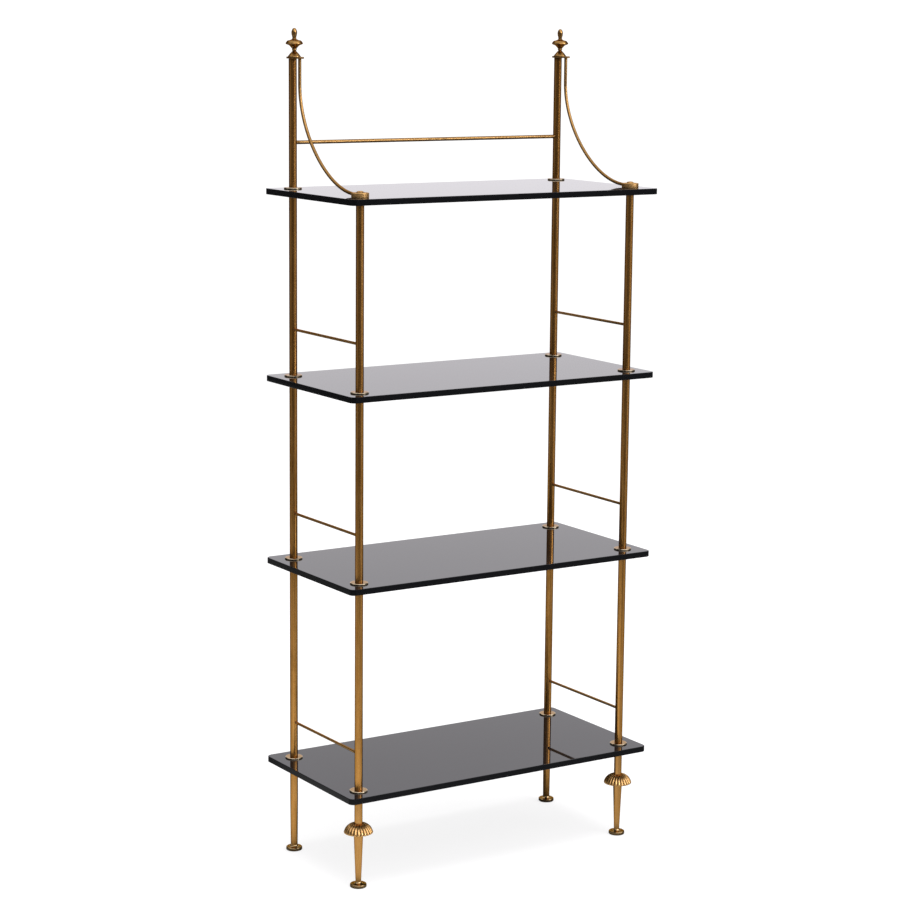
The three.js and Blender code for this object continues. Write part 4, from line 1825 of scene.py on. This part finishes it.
@dataclass
class Post:
    """A whole post: foot, leg, collars and tubes, with what stands on its top."""

    place: PostPlace

    def build(self, nodes: dict[str, bpy.types.Object]) -> None:
        """Makes the post's pieces from the floor up, and gives the tie rod inside its steel.

        Args:
            nodes: the CAD nodes, by name.
        """
        name = self.place.name
        Foot(self.place).build()
        Leg(self.place).build()
        for bay in range(1, BAYS + 1):
            Collar(f"collar_{name}_{bay}", self.place).build()
            Tube(f"post_{name}_bay_{bay}", self.place).build()
        if self.place.depth is Depth.REAR:
            Collar(f"collar_{name}_{SHELVES}", self.place).build()
            finish = POST_BRASS if self.place.side is Side.LEFT else DARK_POST_BRASS
            Tube(f"post_{name}_top", self.place, finish=finish).build()
            Bracket(self.place).build()
            Finial(self.place).build()
        else:
            Skirt(self.place).build()
            Cap(self.place).build()
        rod = nodes[f"tie_rod_{name}"]
        rod.material_slots[0].material = ROD_STEEL.material()
        log.info("%s keeps its solid, %s", rod.name, ROD_STEEL.name)


# The studio


@dataclass
class Studio:
    """A pale floor, a soft sun overhead, and a room that only the brass and the glass mirror.

    The camera sees white. The floor glows for it, and gives its pale colour to the light that it throws back.
    The mirrored room has a soft box on each side of the camera, a large key box in front on the right, a
    narrow bright window low under that, a pale ceiling, and a white wall behind the etagere. Its fades go by
    the direction in degrees to the camera's right, or by how high it looks, from 0 level to 1 straight up.
    The mirrored floor is painted with light that falls off and with shade, differing from place to place as
    the brass of the photograph shows it: its fades go by metres towards the camera, to its right, or from the
    middle of a foot, round which lies a painted shadow, and the brighter of the middle's two holds. A painted
    shadow patch lies under and behind the etagere, and slants to the left with the distance.
    """

    floor_half_width: float = 3.2
    floor_front: float = -2.45
    floor_rear: float = 6.0
    floor_glow: float = 0.83
    foot_shadow: Fade = Fade(0.0165, 0.026, 0.93, 1.0)
    grain_scale: float = 40.0
    grain_share: float = 0.04
    pale: Colour = (0.8, 0.8, 0.8)
    pale_grain: Colour = (0.7, 0.7, 0.7)
    seen_floor: Colour = (0.2, 0.2, 0.2)
    mirrored_floor: Colour = (0.02, 0.02, 0.02)

    # The mirrored glow and fades paint light that falls off, a shadow round each foot and a shadow patch
    # under and behind the etagere.
    mirrored_glow: float = 1.08
    ahead_fades: tuple[Fade, ...] = (Fade(1.0, 2.4, 1.0, 0.48), Fade(-0.9, 0.0, 0.45, 1.0))
    aside_fades: tuple[Fade, ...] = (Fade(-0.1, 1.0, 1.0, 0.5), Fade(-1.6, -0.5, 0.6, 1.0))
    mirrored_foot_shadow: Fade = Fade(0.017, 0.08, 0.12, 1.0)
    middle_fades: tuple[Fade, Fade] = (Fade(0.2, 1.0, 0.85, 1.0), Fade(-0.2, 0.0, 1.0, 0.0))
    shadow_patch_darkness: float = 0.94
    patch_slant: float = 0.6
    patch_start: float = 0.25
    patch_across: Fade = Fade(0.25, 0.6, 1.0, 0.0)
    patch_middle: float = 0.85
    patch_along: Fade = Fade(0.75, 1.0, 1.0, 0.0)

    room_tint: Colour = (0.985, 0.955, 1.0)
    dim: float = 0.1
    right_glow: float = 0.28
    right_box: tuple[Fade, Fade] = (Fade(30.0, 48.0), Fade(96.0, 116.0, 1.0, 0.0))
    left_glow: float = 0.16
    left_box: tuple[Fade, Fade] = (Fade(-96.0, -80.0), Fade(-52.0, -36.0, 1.0, 0.0))
    wall: Fade = Fade(140.0, 160.0)
    upwards: Fade = Fade(0.06, 0.42, 1.1, 0.72)
    ceiling: float = 0.85
    ceiling_height: Fade = Fade(0.5, 0.8)
    key_glow: float = 1.6
    key_width: tuple[Fade, Fade] = (Fade(-25.0, 0.0), Fade(70.0, 100.0, 1.0, 0.0))
    key_height: tuple[Fade, Fade] = (Fade(0.22, 0.38), Fade(0.72, 0.9, 1.0, 0.0))
    window_glow: float = 8.0
    window_width: tuple[Fade, Fade] = (Fade(50.0, 60.0), Fade(68.0, 78.0, 1.0, 0.0))
    window_height: tuple[Fade, Fade] = (Fade(0.1, 0.19), Fade(0.36, 0.46, 1.0, 0.0))

    sun_energy: float = 3.4
    sun_angle: float = math.radians(38)
    sun_from: tuple[float, float, float] = (0.0, -0.14, 1.0)

    camera_place: tuple[float, float, float] = (-2.886675, -4.478524, 1.816505)
    camera_yaw: float = 0.5681
    camera_pitch: float = 0.1736
    camera_roll: float = 0.009
    camera_lens: float = 100.11
    camera_sensor: float = 36.0
    camera_reach: float = 100.0

    def from_camera(self, sketch: NodeSketch, x: Socket, y: Socket) -> tuple[Socket, Socket]:
        """Splits a place on the floor, or a direction, by the way the camera looks.

        Args:
            sketch: the sketch of the tree.
            x: its X.
            y: its Y.

        Returns:
            How far it lies towards the camera, and how far to the camera's right.
        """
        sine, cosine = math.sin(self.camera_yaw), math.cos(self.camera_yaw)
        towards = sketch.less(sketch.product(x, -sine), sketch.product(y, cosine))
        return towards, sketch.less(sketch.product(x, cosine), sketch.product(y, sine))

    @staticmethod
    def rays(sketch: NodeSketch) -> tuple[Socket, Socket]:
        """Tells who looks.

        Args:
            sketch: the sketch of the tree.

        Returns:
            1 for the camera, also through glass, and 1 for a mirror.
        """
        path = sketch.node("ShaderNodeLightPath").outputs
        seen = sketch.math("MAXIMUM", path["Is Camera Ray"], path["Is Transmission Ray"])
        return seen, path["Is Glossy Ray"]

    def mirrored(self, sketch: NodeSketch, x: Socket, y: Socket, from_foot: Socket) -> Socket:
        """How bright the floor is in the mirror of the brass and the glass: painted light that falls off, and
        painted shadows round the feet and under and behind the etagere.

        Args:
            sketch: the sketch of the floor's material.
            x: the place's X.
            y: the place's Y.
            from_foot: its distance from the middle of the nearest foot.

        Returns:
            The brightness, as a share of the mirrored glow.
        """
        towards, aside = self.from_camera(sketch, x, y)
        # a painted shadow under and behind the etagere, slanting left with the distance
        slanted = sketch.total(x, sketch.product(sketch.less(y, self.patch_start), self.patch_slant))
        from_middle = sketch.math("ABSOLUTE", sketch.less(y, self.patch_middle))
        shadow_patch = sketch.product(sketch.fade(sketch.math("ABSOLUTE", slanted), self.patch_across),
                               sketch.fade(from_middle, self.patch_along), self.shadow_patch_darkness)
        middle = sketch.math("MAXIMUM", *(sketch.fade(towards, fade) for fade in self.middle_fades))
        return sketch.product(sketch.fade(towards, *self.ahead_fades), sketch.fade(aside, *self.aside_fades),
                              sketch.fade(from_foot, self.mirrored_foot_shadow), sketch.less(1.0, shadow_patch), middle)

    def floor(self) -> None:
        """Lays the floor, which shows white where nothing shades it."""
        mesh = bpy.data.meshes.new("floor")
        side, front, rear = self.floor_half_width, self.floor_front, self.floor_rear
        mesh.from_pydata([(-side, front, 0), (side, front, 0), (side, rear, 0), (-side, rear, 0)], [],
                         [(0, 1, 2, 3)])
        material, sketch, shader, place = start_material("pale_floor")
        x, y, _ = sketch.node("ShaderNodeSeparateXYZ", {0: place}).outputs
        foot = PostPlace(Side.RIGHT, Depth.REAR).axis(0.0)
        nearest = sketch.node("ShaderNodeCombineXYZ", {
            "X": sketch.less(sketch.math("ABSOLUTE", x), foot.x),
            "Y": sketch.less(sketch.math("ABSOLUTE", y), foot.y)}).outputs[0]
        from_foot = sketch.node("ShaderNodeVectorMath", {0: nearest}, operation="LENGTH").outputs["Value"]
        seen, glossy = self.rays(sketch)
        grain = sketch.product(sketch.fade(sketch.noise(place, self.grain_scale, detail=3.0), MIDDLE),
                               self.grain_share)
        thrown_back = sketch.blend(grain, self.pale, self.pale_grain)
        unmirrored = sketch.blend(seen, thrown_back, self.seen_floor)
        glow = sketch.product(seen, sketch.fade(from_foot, self.foot_shadow), self.floor_glow)
        # The floor's glow in mirrors carries that painted light and shade.
        mirror_glow = sketch.product(glossy, self.mirrored(sketch, x, y, from_foot), self.mirrored_glow)
        sketch.feed(shader, {
            "Base Color": sketch.blend(glossy, unmirrored, self.mirrored_floor),
            "Roughness": 1.0,
            "Specular IOR Level": 0.0,
            "Emission Color": (1.0, 1.0, 1.0),
            "Emission Strength": sketch.total(glow, mirror_glow),
        })
        mesh.materials.append(material)
        linked("floor", mesh)

    def room(self) -> None:
        """Lights the room by the direction that is looked in."""
        world = bpy.data.worlds.new("studio")
        bpy.context.scene.world = world
        world.use_nodes = True
        sketch = NodeSketch(world.node_tree)
        way = sketch.node("ShaderNodeTexCoord").outputs["Generated"]
        x, y, z = sketch.node("ShaderNodeSeparateXYZ", {0: way}).outputs
        towards, aside = self.from_camera(sketch, x, y)
        angle = sketch.product(sketch.math("ARCTAN2", aside, towards), math.degrees(1))
        level = sketch.total(self.dim, sketch.product(sketch.fade(angle, *self.right_box), self.right_glow),
                             sketch.product(sketch.fade(angle, *self.left_box), self.left_glow))
        wall = sketch.fade(sketch.math("ABSOLUTE", angle), self.wall)
        level = sketch.total(level, sketch.product(wall, sketch.less(1.0, level)))
        level = sketch.product(level, sketch.fade(z, self.upwards))
        ceiling = sketch.fade(z, self.ceiling_height)
        level = sketch.total(level, sketch.product(ceiling, sketch.less(self.ceiling, level)))
        key = sketch.product(sketch.fade(angle, *self.key_width), sketch.fade(z, *self.key_height))
        window = sketch.product(sketch.fade(angle, *self.window_width), sketch.fade(z, *self.window_height))
        level = sketch.total(level, sketch.product(key, self.key_glow),
                             sketch.product(window, self.window_glow))
        seen, _ = self.rays(sketch)
        sketch.feed(world.node_tree.nodes["Background"], {
            "Color": sketch.blend(seen, self.room_tint, (1.0, 1.0, 1.0)),
            "Strength": sketch.math("MAXIMUM", seen, level),
        })

    def sun(self) -> None:
        """Hangs the soft light overhead, a little in front, and keeps it out of the brass's highlights."""
        data = bpy.data.lights.new("overhead", "SUN")
        data.energy = self.sun_energy
        data.angle = self.sun_angle
        lamp = linked("overhead", data)
        lamp.rotation_euler = Vector(self.sun_from).to_track_quat("Z", "Y").to_euler()
        lamp.visible_glossy = False

    def camera(self) -> None:
        """Sets the camera where the photograph's stood."""
        yaw, pitch, roll = self.camera_yaw, self.camera_pitch, self.camera_roll
        ahead = Vector((math.sin(yaw) * math.cos(pitch), math.cos(yaw) * math.cos(pitch), -math.sin(pitch)))
        level = Vector((math.cos(yaw), -math.sin(yaw), 0.0))
        upright = level.cross(ahead)
        right = math.cos(roll) * level + math.sin(roll) * upright
        up = math.cos(roll) * upright - math.sin(roll) * level
        data = bpy.data.cameras.new("camera")
        data.lens = self.camera_lens
        data.sensor_width = self.camera_sensor
        data.clip_end = self.camera_reach
        camera = linked("camera", data)
        turn = Matrix((right, up, -ahead)).transposed()
        camera.matrix_world = Matrix.Translation(Vector(self.camera_place)) @ turn.to_4x4()
        bpy.context.scene.camera = camera

    def build(self) -> None:
        """Sets up the floor, the light and the camera."""
        self.floor()
        self.room()
        self.sun()
        self.camera()
        bpy.context.scene.view_settings.view_transform = "Standard"


def main() -> None:
    """Builds the etagere and its studio."""
    logging.basicConfig(level=logging.INFO, format="%(name)s: %(message)s")
    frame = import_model()
    posts = [PostPlace(side, depth) for depth in Depth for side in Side]
    for number in range(1, SHELVES + 1):
        GlassShelf(number, posts).build()
    for place in posts:
        Post(place).build(frame["nodes"])
    for side in Side:
        for bay in range(1, BAYS + 1):
            Rail(f"rail_{side.value}_{bay}", axis=1).build()
    Rail("crossbar", axis=0, diameter=8 * MM, finish=CROSSBAR_BRASS).build()
    Studio().build()


if __name__ == "__main__":
    main()
